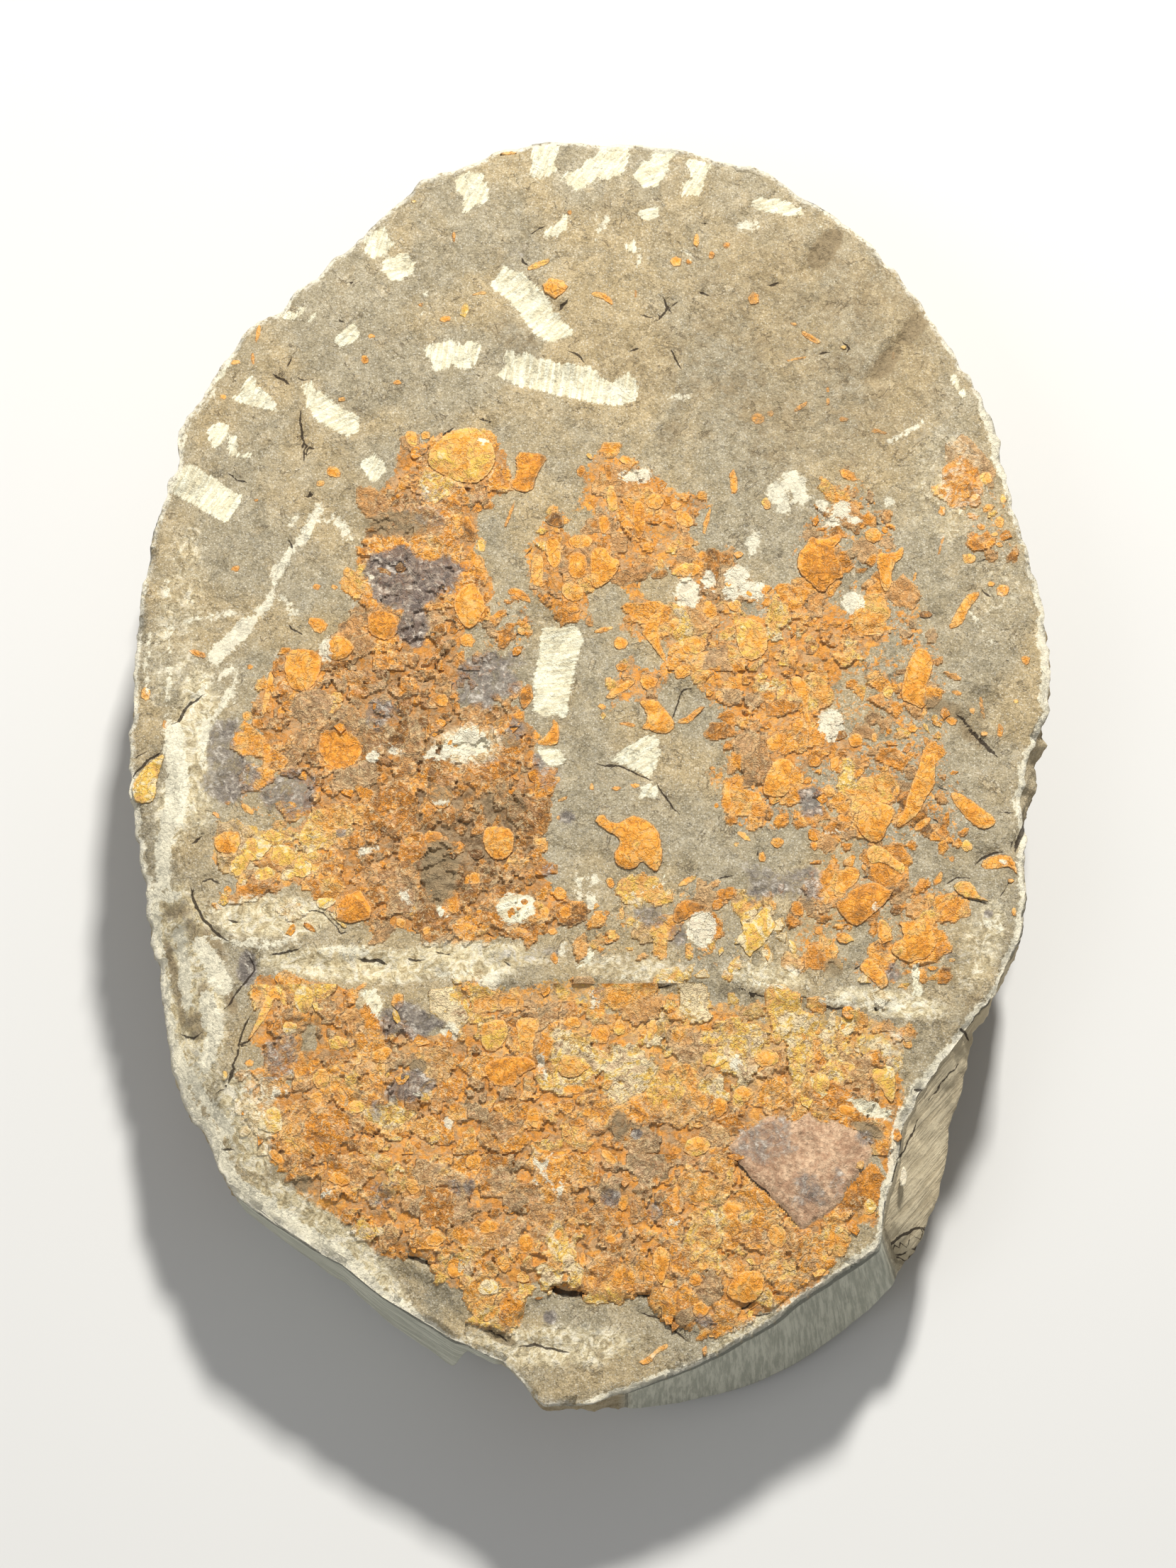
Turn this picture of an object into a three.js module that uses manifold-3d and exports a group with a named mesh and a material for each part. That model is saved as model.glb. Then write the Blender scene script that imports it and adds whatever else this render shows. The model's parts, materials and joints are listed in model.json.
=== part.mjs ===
// Fossil slab: one oval, hand-trimmed piece of siltstone whose bedding face is crowded with
// broken trilobite shields and shell hash. Millimetres, +Z up. The slab lies bedding face up;
// the origin is on the resting plane under the middle of the slab, +Y runs to its broad end.
import * as THREE from 'three';
import { ImprovedNoise } from 'three/addons/math/ImprovedNoise.js';
import { mergeVertices } from 'three/addons/utils/BufferGeometryUtils.js';
import Module from 'manifold-3d';

// Driving dimensions.
const FACE_HEIGHT = 45;            // bedding face above the resting plane
const HALF_WIDTH = 118;            // half of the slab's width, along X
const HALF_LENGTH = 168;           // half of the slab's length, along Y
const LEDGE_DROP = 2;              // step down from the upper bed to the lower bed
const LOWER_BED_FALL = 0.022;      // slope of the lower bed, mm per mm toward the narrow end
const CRUST_THICKNESS = 1.3;       // hash crust over the bare siltstone at the narrow end
const STEP_EDGE = { back: 0.7, front: 1 };   // width of a step's slope behind and ahead of its line
const SWELL = { size: 45, height: 0.5 };     // long, low waves of the bedding face
const LUMPS = { size: 11, upper: 0.45, lower: 0.8, bare: -0.5 };   // knobbly hash, by area
const EDGE_ROUNDING = 0.13;        // share of the reach over which the face rounds to its rim
const FOOT_HEIGHT = 5;             // where the broken sides turn under the slab
const BELLY_DEPTH = 1.8;           // how far the underside would bulge below the resting plane
const UNDER_LUMPS = { size: 22, height: 1.6 };
const UNDERCUT = { from: 8, to: 20, rise: 3 };   // foot insets that hollow the underside, and how much
const RUBBED = { from: 274, to: 300, roughness: 0.15 };   // bearings of the rubbed side face
const BEDS = { around: 9, thickness: 5, least: 0.4, depth: 2.2 };   // rough, thinly bedded sides
const GATHER = { reach: 20, power: 1.35 };    // pulls rows of the face toward the ledge
const GRID_TURN = 0.25;            // radians; keeps the grid's corners off the bend in the right side
const CELLS = { across: 38, along: 48, down: 8 };   // facets of the face and of each side
const GROUND = { width: 400, length: 500, depth: 30 };

// The edge, counter-clockwise from +X. Each row: bearing in degrees, reach of the rim from the
// origin, height of the rim, how far the side stands out past the rim at its widest line, the
// height of that line, and how far the foot lies inside the rim.
const EDGE = [
  [1, 114.5, 44, 3.5, 38, 5], [3, 116.5, 44, 1.8, 38, 5], [7, 119, 44.4, 0.8, 34, 6],
  [14, 121.5, 44.4, 0.8, 30, 6], [20, 123.5, 44.4, 1, 24, 5], [25, 125, 44.2, 1, 22, 5],
  [31, 128, 44.2, 1, 22, 4], [36, 132.5, 44, 0.8, 24, 6], [38, 136.5, 44, 0.6, 24, 7],
  [42, 139, 44.2, 0.8, 20, 6], [50, 145.5, 44.2, 1, 20, 5], [57, 152.5, 44, 1, 20, 5],
  [61, 157, 44, 1.2, 20, 5], [64, 160, 43.6, 1.5, 18, 6], [68, 162, 43.6, 1.5, 18, 6],
  [72, 165, 43.8, 1.5, 18, 5], [75, 168, 43.6, 1, 20, 6], [77, 167, 43.8, 1.4, 20, 6],
  [84, 168.5, 44, 1.6, 20, 5], [95, 168.5, 44, 2, 20, 4], [99, 168, 43.8, 1.6, 20, 5],
  [102, 165, 43.6, 1.4, 20, 5], [106, 163.5, 43.6, 1.2, 18, 6], [111, 156.5, 43.4, 1.5, 18, 6],
  [114, 153, 43.4, 1.5, 18, 5], [117, 152, 43.2, 1, 20, 6], [119, 148.5, 43.2, 1.2, 20, 5],
  [122, 148, 43.4, 1, 20, 6], [124, 145.5, 43.4, 1, 20, 5], [129, 146, 43.6, 1, 22, 6],
  [134, 141.5, 43.4, 1, 22, 6], [138, 139.5, 43.4, 1, 22, 6], [142, 137, 43.2, 0.8, 22, 7],
  [145, 132, 43.2, 1, 22, 5], [149, 130, 43.2, 1, 22, 5], [155, 126, 43.6, 1, 22, 5],
  [162, 122.5, 43.8, 1, 20, 5], [169, 119, 43.8, 1, 20, 4], [174, 118, 43.6, 1, 20, 4],
  [181, 118, 43.4, 0.8, 20, 5], [190, 117.5, 42.6, 0.8, 22, 5], [197, 118.5, 39.5, 0.8, 22, 6],
  [203, 121.5, 37, 0.8, 22, 6], [207, 123, 36.5, 0.8, 22, 6], [211, 126, 36.5, 0.8, 20, 6],
  [215, 130, 36.5, 1, 20, 6], [219, 134.5, 37, 1, 20, 6], [222, 137.5, 37, 0.6, 20, 7],
  [225, 138, 37.5, 0.6, 20, 7], [228, 140.5, 38, 0.5, 20, 8], [231, 144.5, 38.8, 0, 20, 10],
  [237, 144.6, 40, 0, 16, 7], [245, 145.5, 40.4, 1, 14, 3], [251, 149.5, 40.4, 2.4, 14, 2],
  [255, 152, 40.4, 3.2, 14, 2], [257.4, 154.2, 40.4, 3.6, 14, 2], [258.6, 154.6, 40.6, 0.6, 33, 15],
  [262, 157.5, 41, 0.6, 34, 20], [264, 162, 41, 0.8, 34, 24], [266.2, 167.6, 41, 1, 34, 27],
  [268, 167.4, 41, 1.4, 33, 26], [271, 165.4, 41, 2.6, 28, 16], [274, 162.6, 41, 2, 14, 6],
  [277, 160.4, 41, 3, 6, 1], [281, 157.5, 41.2, 5.5, 5, 0], [284, 155, 41.2, 7.5, 5, -2],
  [287, 153, 41.4, 8.5, 5, -3], [290, 150, 41.4, 10, 5, -4], [294, 148, 41.4, 9.5, 6, -4],
  [297, 147.2, 41.6, 8.8, 12, -3], [299, 146.6, 41.8, 8.4, 22, -2], [302, 138.5, 42, 14, 28, -7],
  [305, 132.5, 42.2, 15, 30, -8], [308, 125.5, 42.4, 17.4, 31, -10], [313, 121.5, 42.6, 11.5, 31, -6],
  [317, 120.5, 42.8, 7.5, 32, -2], [323, 119.5, 43, 2, 34, 2], [329, 120, 43.2, 0.8, 30, 4],
  [334, 119.5, 43.4, 0.8, 24, 5], [337, 118.5, 43.6, 0.8, 24, 5], [341, 116.5, 43.8, 0.8, 24, 5],
  [344, 114.5, 43.8, 1, 24, 5], [348, 113, 44, 1.2, 30, 5], [351, 111, 44, 2.4, 37, 4],
  [354, 111, 44, 4.6, 38, 3], [358, 111.6, 44, 4.4, 38, 3],
];
const COLUMN = { reach: 1, rim: 2, standOut: 3, belly: 4, inset: 5 };

// Break between the two beds, and the end of the hash crust, as [x, y] from left to right.
const LEDGE = [
  [-97, -46], [-87, -53], [-76, -53], [-47, -55], [-39, -56], [-30, -62], [-10, -61],
  [26, -62], [41, -65], [70, -68], [94, -74],
];
const CRUST_END = [
  [-60, -152], [-23, -147], [-14, -139], [6, -139], [15, -140], [29, -150], [60, -152],
];

// Dull troughs left by the trimming chisel: start, end, width and depth.
const TROUGHS = [
  [-107, 64, -91, 72, 10, 1.6], [-27, 131, -5, 112, 11, 1.6], [-25, 103, 13, 95, 11, 1.4],
  [-11, 32, -5, -5, 11, 1.5], [-36, 148, -27, 161, 10, 1.4], [59, 142, 67, 132, 9, 1.8],
  [89, 118, 74, 101, 8, 1.4], [24, 91, 17, 78, 8, 1.2], [100, 10, 97, -3, 15, 1.8],
  [-80, 120, -72, 124, 9, 1.3], [-57, 140, -50, 132, 9, 1.2], [-70, 93, -60, 88, 9, 1.2],
  [-115, -3, -109, -12, 10, 2.2], [48, 150, 38, 141, 9, 1.2],
];

// Domed pieces of shield and shell: middle, radius and height. A dished one has a negative height.
const SHIELDS = [
  [-34, 77, 9, 1.7], [-63, 0, 7, -1.4], [-59, -43, 6.5, 1.3], [-63, 26, 5.5, 1.9],
  [-30, 37, 6, 1.3], [-52, 34, 6, 1.1], [-1, 47, 9, 1.5], [61, 48, 8, 1.7], [75, 50, 6, 1.4],
  [83, 17, 7, 1.4], [72, -19, 6.5, 1.6], [97, -18, 7, 1.3], [13, -26, 8, 1.6], [67, -40, 6, 1.3],
  [79, -50, 7.5, 1.6], [70, -59, 6, 1.2], [42, -50, 6, 1.3], [-9, 125, 6, 1.2],
  [57, -87, 6, 1.1], [31, -82, 6, 1.1], [-8, -75, 9, 1.2], [-47, -67, 6, 1.1],
  [85, -5, 6, 1.6], [80, -15, 6, 1.5], [-80, -12, 8, 1.1], [-20, -95, 8, 1.2],
  [10, -112, 8, 1.1], [-45, -108, 8, 1.2], [52, -108, 12, 1], [40, 20, 8, 1.2],
];

const WELD = 1e-5;                 // vertices closer than this are one
const noise = new ImprovedNoise();

// Value of a piecewise straight line through points sorted by their first number.
function along(points, at, column = 1) {
  if (at <= points[0][0]) return points[0][column];
  for (let i = 1; i < points.length; i++) {
    if (at > points[i][0]) continue;
    const share = (at - points[i - 1][0]) / (points[i][0] - points[i - 1][0]);
    return THREE.MathUtils.lerp(points[i - 1][column], points[i][column], share);
  }
  return points.at(-1)[column];
}

// One dimension of the edge at a bearing, in degrees; the table closes on itself.
const CLOSED_EDGE = [...EDGE, [EDGE[0][0] + 360, ...EDGE[0].slice(1)]];
function edge(bearing, column) {
  const turned = THREE.MathUtils.euclideanModulo(bearing - EDGE[0][0], 360) + EDGE[0][0];
  return along(CLOSED_EDGE, turned, column);
}

// Distance from a point to the straight stretch between two others.
function distanceToStretch(x, y, x1, y1, x2, y2) {
  const lengthSquared = (x2 - x1) ** 2 + (y2 - y1) ** 2;
  const share = ((x - x1) * (x2 - x1) + (y - y1) * (y2 - y1)) / lengthSquared;
  const held = THREE.MathUtils.clamp(share, 0, 1);
  return Math.hypot(x - x1 - held * (x2 - x1), y - y1 - held * (y2 - y1));
}

// Height of the bedding face before it rounds off to the rim.
function faceHeight(x, y) {
  const below = along(LEDGE, x) - y;
  const lower = THREE.MathUtils.smoothstep(below, -STEP_EDGE.back, STEP_EDGE.front);
  const bare = THREE.MathUtils.smoothstep(along(CRUST_END, x) - y, -STEP_EDGE.back, STEP_EDGE.front);
  let height = FACE_HEIGHT - lower * (LEDGE_DROP + LOWER_BED_FALL * Math.max(below, 0));
  height -= bare * CRUST_THICKNESS;
  height += SWELL.height * noise.noise(x / SWELL.size, y / SWELL.size, 0.5);
  const knobs = THREE.MathUtils.lerp(LUMPS.upper, LUMPS.lower, lower) + LUMPS.bare * bare;
  height += knobs * noise.noise(x / LUMPS.size, y / LUMPS.size, 0.5);
  for (const [x1, y1, x2, y2, width, depth] of TROUGHS) {
    const near = distanceToStretch(x, y, x1, y1, x2, y2) / (width / 2);
    height -= depth * Math.max(0, 1 - near * near);
  }
  for (const [sx, sy, radius, rise] of SHIELDS) {
    const near = Math.hypot(x - sx, y - sy) / radius;
    height += rise * Math.max(0, 1 - near * near);
  }
  return height;
}

// A point of the square, sent to the disc so that the square's sides become its rim: its bearing
// on the slab, and its share of the way out to the edge.
function onDisc(a, b) {
  const u = a * Math.sqrt(1 - b * b / 2);
  const v = b * Math.sqrt(1 - a * a / 2);
  const bearing = Math.atan2(HALF_LENGTH * v, HALF_WIDTH * u) + GRID_TURN;
  return { bearing, share: Math.hypot(u, v) };
}

// Slides a point of the face along Y toward the ledge, less and less toward the rim.
function gathered(x, y, share) {
  const off = y - along(LEDGE, x);
  if (Math.abs(off) > GATHER.reach) return y;
  const pulled = Math.sign(off) * GATHER.reach * (Math.abs(off) / GATHER.reach) ** GATHER.power;
  return THREE.MathUtils.lerp(y + pulled - off, y, share ** 8);
}

function facePoint(bearing, share) {
  const degrees = THREE.MathUtils.radToDeg(bearing);
  const reach = edge(degrees, COLUMN.reach) * share;
  const x = reach * Math.cos(bearing);
  const y = gathered(x, reach * Math.sin(bearing), share);
  const rounding = THREE.MathUtils.smoothstep(share, 1 - EDGE_ROUNDING, 1) ** 1.5;
  const z = THREE.MathUtils.lerp(faceHeight(x, y), edge(degrees, COLUMN.rim), rounding);
  return [x, y, z];
}

// The side runs from the rim out to its widest line, then back in to the foot. Broken sides are
// rough, in thin beds; the rubbed face at the narrow end and the one beside it are smooth.
function sidePoint(bearing, down) {
  const degrees = THREE.MathUtils.euclideanModulo(THREE.MathUtils.radToDeg(bearing), 360);
  const value = (column) => edge(degrees, column);
  const rim = { off: 0, z: value(COLUMN.rim) };
  const belly = { off: value(COLUMN.standOut), z: value(COLUMN.belly) };
  const foot = { off: -value(COLUMN.inset), z: FOOT_HEIGHT };
  const [from, to, share] = down < 0.5 ? [rim, belly, down * 2] : [belly, foot, down * 2 - 1];
  const z = THREE.MathUtils.lerp(from.z, to.z, share);
  const [u, v] = [BEDS.around * Math.cos(bearing), BEDS.around * Math.sin(bearing)];
  const beds = BEDS.least + BEDS.depth * Math.abs(noise.noise(u, v, z / BEDS.thickness));
  const rubbed = degrees > RUBBED.from && degrees < RUBBED.to ? RUBBED.roughness : 1;
  const bitten = rubbed * beds * Math.sin(Math.PI * down);
  const reach = value(COLUMN.reach) + THREE.MathUtils.lerp(from.off, to.off, share) - bitten;
  return [reach * Math.cos(bearing), reach * Math.sin(bearing), z];
}

function undersidePoint(bearing, share) {
  const degrees = THREE.MathUtils.radToDeg(bearing);
  const foot = sidePoint(bearing, 1);
  const reach = Math.hypot(foot[0], foot[1]) * share;
  const [x, y] = [reach * Math.cos(bearing), reach * Math.sin(bearing)];
  const lumps = UNDER_LUMPS.height * noise.noise(x / UNDER_LUMPS.size, y / UNDER_LUMPS.size, 0.5);
  const cut = THREE.MathUtils.smoothstep(edge(degrees, COLUMN.inset), UNDERCUT.from, UNDERCUT.to);
  const outer = FOOT_HEIGHT + UNDERCUT.rise * cut * share;
  return [x, y, THREE.MathUtils.lerp(-BELLY_DEPTH, outer, share ** 3) + lumps];
}

// A box's grid, bent over the slab: its top is the bedding face, its sides the slab's sides.
function bentBox() {
  const grid = new THREE.BoxGeometry(2, 2, 2, CELLS.across, CELLS.along, CELLS.down);
  grid.deleteAttribute('normal');
  grid.deleteAttribute('uv');
  const shape = mergeVertices(grid, WELD);
  const place = shape.getAttribute('position');
  for (let i = 0; i < place.count; i++) {
    const { bearing, share } = onDisc(place.getX(i), place.getY(i));
    const down = (1 - place.getZ(i)) / 2;
    let point = sidePoint(bearing, down);
    if (down < WELD) point = facePoint(bearing, share);
    if (down > 1 - WELD && share < 1 - WELD) point = undersidePoint(bearing, share);
    place.setXYZ(i, ...point);
  }
  return shape;
}

const wasm = await Module();
wasm.setup();

function solidFrom(geometry) {
  const bare = geometry.clone();
  bare.deleteAttribute('normal');
  bare.deleteAttribute('uv');
  const merged = mergeVertices(bare, WELD);
  return new wasm.Manifold(new wasm.Mesh({
    numProp: 3,
    vertProperties: new Float32Array(merged.getAttribute('position').array),
    triVerts: new Uint32Array(merged.getIndex().array),
  }));
}

// The underside rubs flat where the slab rests.
function fossilSlab() {
  const ground = new THREE.BoxGeometry(GROUND.width, GROUND.length, GROUND.depth);
  ground.translate(0, 0, -GROUND.depth / 2);
  const { vertProperties, triVerts } = solidFrom(bentBox()).subtract(solidFrom(ground)).getMesh();
  const geometry = new THREE.BufferGeometry();
  geometry.setAttribute('position', new THREE.BufferAttribute(vertProperties, 3));
  geometry.setIndex(new THREE.BufferAttribute(triVerts, 1));
  geometry.computeVertexNormals();
  const siltstone = new THREE.MeshStandardMaterial({
    color: 0x6f6656, roughness: 0.85, metalness: 0, flatShading: true,
  });
  const slab = new THREE.Mesh(geometry, siltstone);
  slab.name = 'fossil_slab';
  return slab;
}

const fossil = new THREE.Group();
fossil.add(fossilSlab());
export default fossil;
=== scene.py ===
"""An oval, hand-trimmed slab of siltstone crowded with broken trilobite shields and shell hash.

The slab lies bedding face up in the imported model's frame: the origin is on the resting plane under
its middle, +Y runs to its broad end and +Z is up. Tables and fields are in millimetres; meshes are
in metres. One closed mesh is the stone itself, larger pieces of shell are laid on it one by one,
and the fine hash is scattered over the crowded parts of the bed.
"""

import json
import logging
import math
from dataclasses import dataclass, field
from enum import Enum
from typing import Callable

import bpy
import numpy as np
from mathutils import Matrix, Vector
from mathutils.geometry import delaunay_2d_cdt

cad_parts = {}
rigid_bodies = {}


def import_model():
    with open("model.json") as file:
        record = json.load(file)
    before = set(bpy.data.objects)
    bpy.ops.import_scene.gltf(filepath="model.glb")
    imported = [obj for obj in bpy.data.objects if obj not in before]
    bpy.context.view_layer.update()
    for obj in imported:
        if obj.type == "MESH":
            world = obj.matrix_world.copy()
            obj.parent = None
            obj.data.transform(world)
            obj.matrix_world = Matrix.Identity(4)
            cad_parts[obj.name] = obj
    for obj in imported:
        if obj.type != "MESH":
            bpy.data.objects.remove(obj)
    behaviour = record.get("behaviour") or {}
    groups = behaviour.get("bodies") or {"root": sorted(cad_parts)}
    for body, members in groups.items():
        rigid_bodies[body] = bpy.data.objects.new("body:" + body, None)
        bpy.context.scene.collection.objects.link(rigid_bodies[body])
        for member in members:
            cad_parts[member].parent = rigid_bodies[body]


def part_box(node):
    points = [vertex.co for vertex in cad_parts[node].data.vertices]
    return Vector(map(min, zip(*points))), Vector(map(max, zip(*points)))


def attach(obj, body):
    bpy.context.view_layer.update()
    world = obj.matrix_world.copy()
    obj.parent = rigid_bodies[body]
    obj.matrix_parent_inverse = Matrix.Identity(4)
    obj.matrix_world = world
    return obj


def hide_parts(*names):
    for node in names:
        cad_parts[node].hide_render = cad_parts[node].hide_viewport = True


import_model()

LOG = logging.getLogger("fossil_slab")
METRES = 0.001  # in one millimetre
BODY = "root"
STONE_NODE = "fossil_slab"
# Marks that lie on stone and shell alike, each an attribute of their meshes.
LAID_MARKS = ("purple", "dull", "dusted", "bruise", "chalk")

Points = list[tuple[float, float]]
Array = np.ndarray
Socket = bpy.types.NodeSocket


class Tint(Enum):
    """Shades that limonite gives the shell, as places along one ramp of colour."""

    DARK = 0.04
    BROWN = 0.16
    RUST = 0.28
    BURNT = 0.42
    ORANGE = 0.56
    PALE = 0.7
    YELLOW = 0.84
    CREAM = 0.97


def rows(table: str) -> list[list[float]]:
    """Reads a table: spaces part its numbers and semicolons its rows."""
    return [[float(word) for word in row.split()] for row in table.split(";")]


def lines(table: str, leading: int) -> list[tuple]:
    """Reads a table whose rows are some numbers and then the corners of a line or an outline.

    Args:
        table: the table.
        leading: how many numbers come before the corners.

    Returns:
        Each row's first numbers, followed by its corners.
    """
    return [(*row[:leading], list(zip(row[leading::2], row[leading + 1::2]))) for row in rows(table)]


# The edge, counter-clockwise from +X. Each row: bearing in degrees, reach of the rim from the
# origin, height of the rim, how far the side stands out past the rim at its widest line, the
# height of that line, and how far the foot lies inside the rim.
EDGE = np.array(rows("""
    1 114.5 44 3.5 38 5; 3 116.5 44 1.8 38 5; 7 119 44.4 .8 34 6; 14 121.5 44.4 .8 30 6; 20 123.5 44.4 1
    24 5; 25 125 44.2 1 22 5; 31 128 44.2 1 22 4; 36 132.5 44 .8 24 6; 38 136.5 44 .6 24 7; 42 139 44.2 .8
    20 6; 50 145.5 44.2 1 20 5; 57 152.5 44 1 20 5; 61 157 44 1.2 20 5; 64 160 43.6 1.5 18 6; 68 162 43.6
    1.5 18 6; 72 165 43.8 1.5 18 5; 75 168 43.6 1 20 6; 77 167 43.8 1.4 20 6; 84 168.5 44 1.6 20 5; 95
    168.5 44 2 20 4; 99 168 43.8 1.6 20 5; 102 165 43.6 1.4 20 5; 106 163.5 43.6 1.2 18 6; 111 156.5 43.4
    1.5 18 6; 114 153 43.4 1.5 18 5; 117 152 43.2 1 20 6; 119 148.5 43.2 1.2 20 5; 122 148 43.4 1 20 6;
    124 145.5 43.4 1 20 5; 129 146 43.6 1 22 6; 134 141.5 43.4 1 22 6; 138 139.5 43.4 1 22 6; 142 137 43.2
    .8 22 7; 145 132 43.2 1 22 5; 149 130 43.2 1 22 5; 155 126 43.6 1 22 5; 162 122.5 43.8 1 20 5; 169 119
    43.8 1 20 4; 174 118 43.6 1 20 4; 181 118 43.4 .8 20 5; 190 117.5 42.6 .8 22 5; 197 118.5 39.5 .8 22
    6; 203 121.5 37 .8 22 6; 207 123 36.5 .8 22 6; 211 126 36.5 .8 20 6; 215 130 36.5 1 20 6; 219 134.5 37
    1 20 6; 222 137.5 37 .6 20 7; 225 138 37.5 .6 20 7; 228 140.5 38 .5 20 8; 231 144.5 38.8 0 20 10; 237
    144.6 40 0 16 7; 245 145.5 40.4 1 14 3; 251 149.5 40.4 2.4 14 2; 255 152 40.4 3.2 14 2; 257.4 154.2
    40.4 3.6 14 2; 258.6 154.6 40.6 .6 33 15; 262 157.5 41 .6 34 20; 264 162 41 .8 34 24; 266.2 167.6 41 1
    34 27; 268 167.4 41 1.4 33 26; 271 165.4 41 2.6 28 16; 274 162.6 41 2 14 6; 277 160.4 41 3 6 1; 281
    157.5 41.2 5.5 5 0; 284 155 41.2 7.5 5 -2; 287 153 41.4 8.5 5 -3; 290 150 41.4 10 5 -4; 294 148 41.4
    9.5 6 -4; 297 147.2 41.6 8.8 12 -3; 299 146.6 41.8 8.4 22 -2; 302 138.5 42 14 28 -7; 305 132.5 42.2 15
    30 -8; 308 125.5 42.4 17.4 31 -10; 313 121.5 42.6 11.5 31 -6; 317 120.5 42.8 7.5 32 -2; 323 119.5 43 2
    34 2; 329 120 43.2 .8 30 4; 334 119.5 43.4 .8 24 5; 337 118.5 43.6 .8 24 5; 341 116.5 43.8 .8 24 5;
    344 114.5 43.8 1 24 5; 348 113 44 1.2 30 5; 351 111 44 2.4 37 4; 354 111 44 4.6 38 3; 358 111.6 44 4.4
    38 3
"""))

# Break between the two beds, and the end of the hash crust, from left to right.
LEDGE = np.array(rows("""
    -97 -46; -87 -53; -81 -54; -76 -53; -66 -54; -58 -55; -47 -55; -42 -56; -37 -57; -32 -63; -23 -61; -10
    -61; 6 -61; 15 -62; 26 -62; 37 -63; 41 -65; 56 -66; 65 -68; 70 -68; 81 -71; 94 -74
"""))
CRUST_END = np.array(rows("""
    -60 -140; -47 -131; -36 -137; -30 -147; -23 -147; -18 -144; -14 -138.5; -6 -139; 1 -139; 6 -139; 15
    -140; 20 -144; 29 -150; 38 -148; 60 -152
"""))

# Dull troughs left by the trimming chisel: start, end, width and depth.
TROUGHS = rows("""
    -107 64 -91 72 10 1; -27 131 -5 112 11 1; -25 103 13 95 11 .9; -11 32 -5 -5 11 1; -36 148 -27 161 10
    .9; 66 142 58 131 8 1.9; 89 120 75 101 7 1.9; 24 91 17 78 7 1; 100 10 97 -3 12 1.6; -80 120 -72 124 9
    .9; -57 140 -50 132 9 .8; -70 93 -60 88 9 .8; -115 -3 -109 -12 10 1.2; 48 150 38 141 9 .8
""")

# Domed pieces of shield and shell: middle, radius and height. A dished one has a negative height.
SHIELDS = rows("""
    -34 78 9 1.2; -63 0 7 -1.2; -59 -43 6 .9; -63 26 5.5 1.5; -30 37 6 .8; -52 34 6 .8; -1 47 9 1; 60 49 8
    1; 75 50 5 .7; 83 16 7 .9; 72 -20 6.5 1; 97 -18 7 .7; 13 -26 8 .9; 67 -41 6 .8; 82 -51 7 .9; 71 -60 5
    .7; 42 -50 6 .8; -9 125 5 .6; 57 -87 5 .6; 31 -82 5 .6; -8 -75 9 .8; -48 -67 4 .5; 85 -7 5 .8; 80 -17
    5 .8; -80 -14 8 .8; -20 -95 8 .9; 10 -112 8 .9; -45 -108 8 .9; 52 -108 12 .8; 39 -137 6 .7; 24 20 8
    .6; -20 -84 7 .8; -78 -97 5 .7; 48 -8 7 .7
""")


def linear(red: float, green: float, blue: float) -> tuple[float, float, float, float]:
    """Turns a display colour into the renderer's linear one.

    Args:
        red, green, blue: parts of the colour, from 0 to 255.

    Returns:
        Linear red, green, blue and an alpha of one.
    """
    def part(value: float) -> float:
        """Turns one part of the colour."""
        share = value / 255
        return share / 12.92 if share <= 0.04045 else ((share + 0.055) / 1.055) ** 2.4
    return (part(red), part(green), part(blue), 1.0)


def smooth(low: float, high: float, value: Array) -> Array:
    """A smooth step from 0 at low to 1 at high."""
    share = np.clip((value - low) / (high - low), 0, 1)
    return share * share * (3 - 2 * share)


class Noise:
    """Gradient noise over a plane or in space, the same on every run."""

    def __init__(self, seed: int) -> None:
        """Shuffles the lattice.

        Args:
            seed: number that fixes the lattice.
        """
        source = np.random.default_rng(seed)
        self.order = np.tile(source.permutation(256), 2)
        turned = source.normal(size=(256, 3))
        self.slopes = turned / np.linalg.norm(turned, axis=1, keepdims=True)

    def at(self, x: Array, y: Array, z: Array | float = 0.5) -> Array:
        """Value between about -0.7 and 0.7 at each point.

        Args:
            x, y, z: places in lattice cells.

        Returns:
            One value for each place.
        """
        x, y, z = np.broadcast_arrays(x, y, z)
        base = [np.floor(v).astype(int) for v in (x, y, z)]
        part = [v - b for v, b in zip((x, y, z), base)]
        fade = [p ** 3 * (p * (p * 6 - 15) + 10) for p in part]
        total = np.zeros(x.shape)
        for corner in range(8):
            step = [(corner >> axis) & 1 for axis in range(3)]
            key = self.order[(base[2] + step[2]) & 255]
            key = self.order[(key + base[1] + step[1]) & 255]
            key = self.order[(key + base[0] + step[0]) & 255]
            slope = self.slopes[key]
            weight = np.ones(x.shape)
            dot = np.zeros(x.shape)
            for axis in range(3):
                weight = weight * (fade[axis] if step[axis] else 1 - fade[axis])
                dot = dot + slope[..., axis] * (part[axis] - step[axis])
            total += weight * dot
        return total * 1.4

    def layered(self, x: Array, y: Array, size: float, octaves: int) -> Array:
        """Several octaves of the noise, each half as large and half as strong as the last.

        Args:
            x, y: places in millimetres.
            size: size of the largest lumps, in millimetres.
            octaves: how many layers are added.

        Returns:
            One value for each place.
        """
        total = np.zeros(np.shape(x))
        for octave in range(octaves):
            scale = 2 ** octave / size
            total += self.at(x * scale, y * scale, octave + 0.37) / 2 ** octave
        return total


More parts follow.
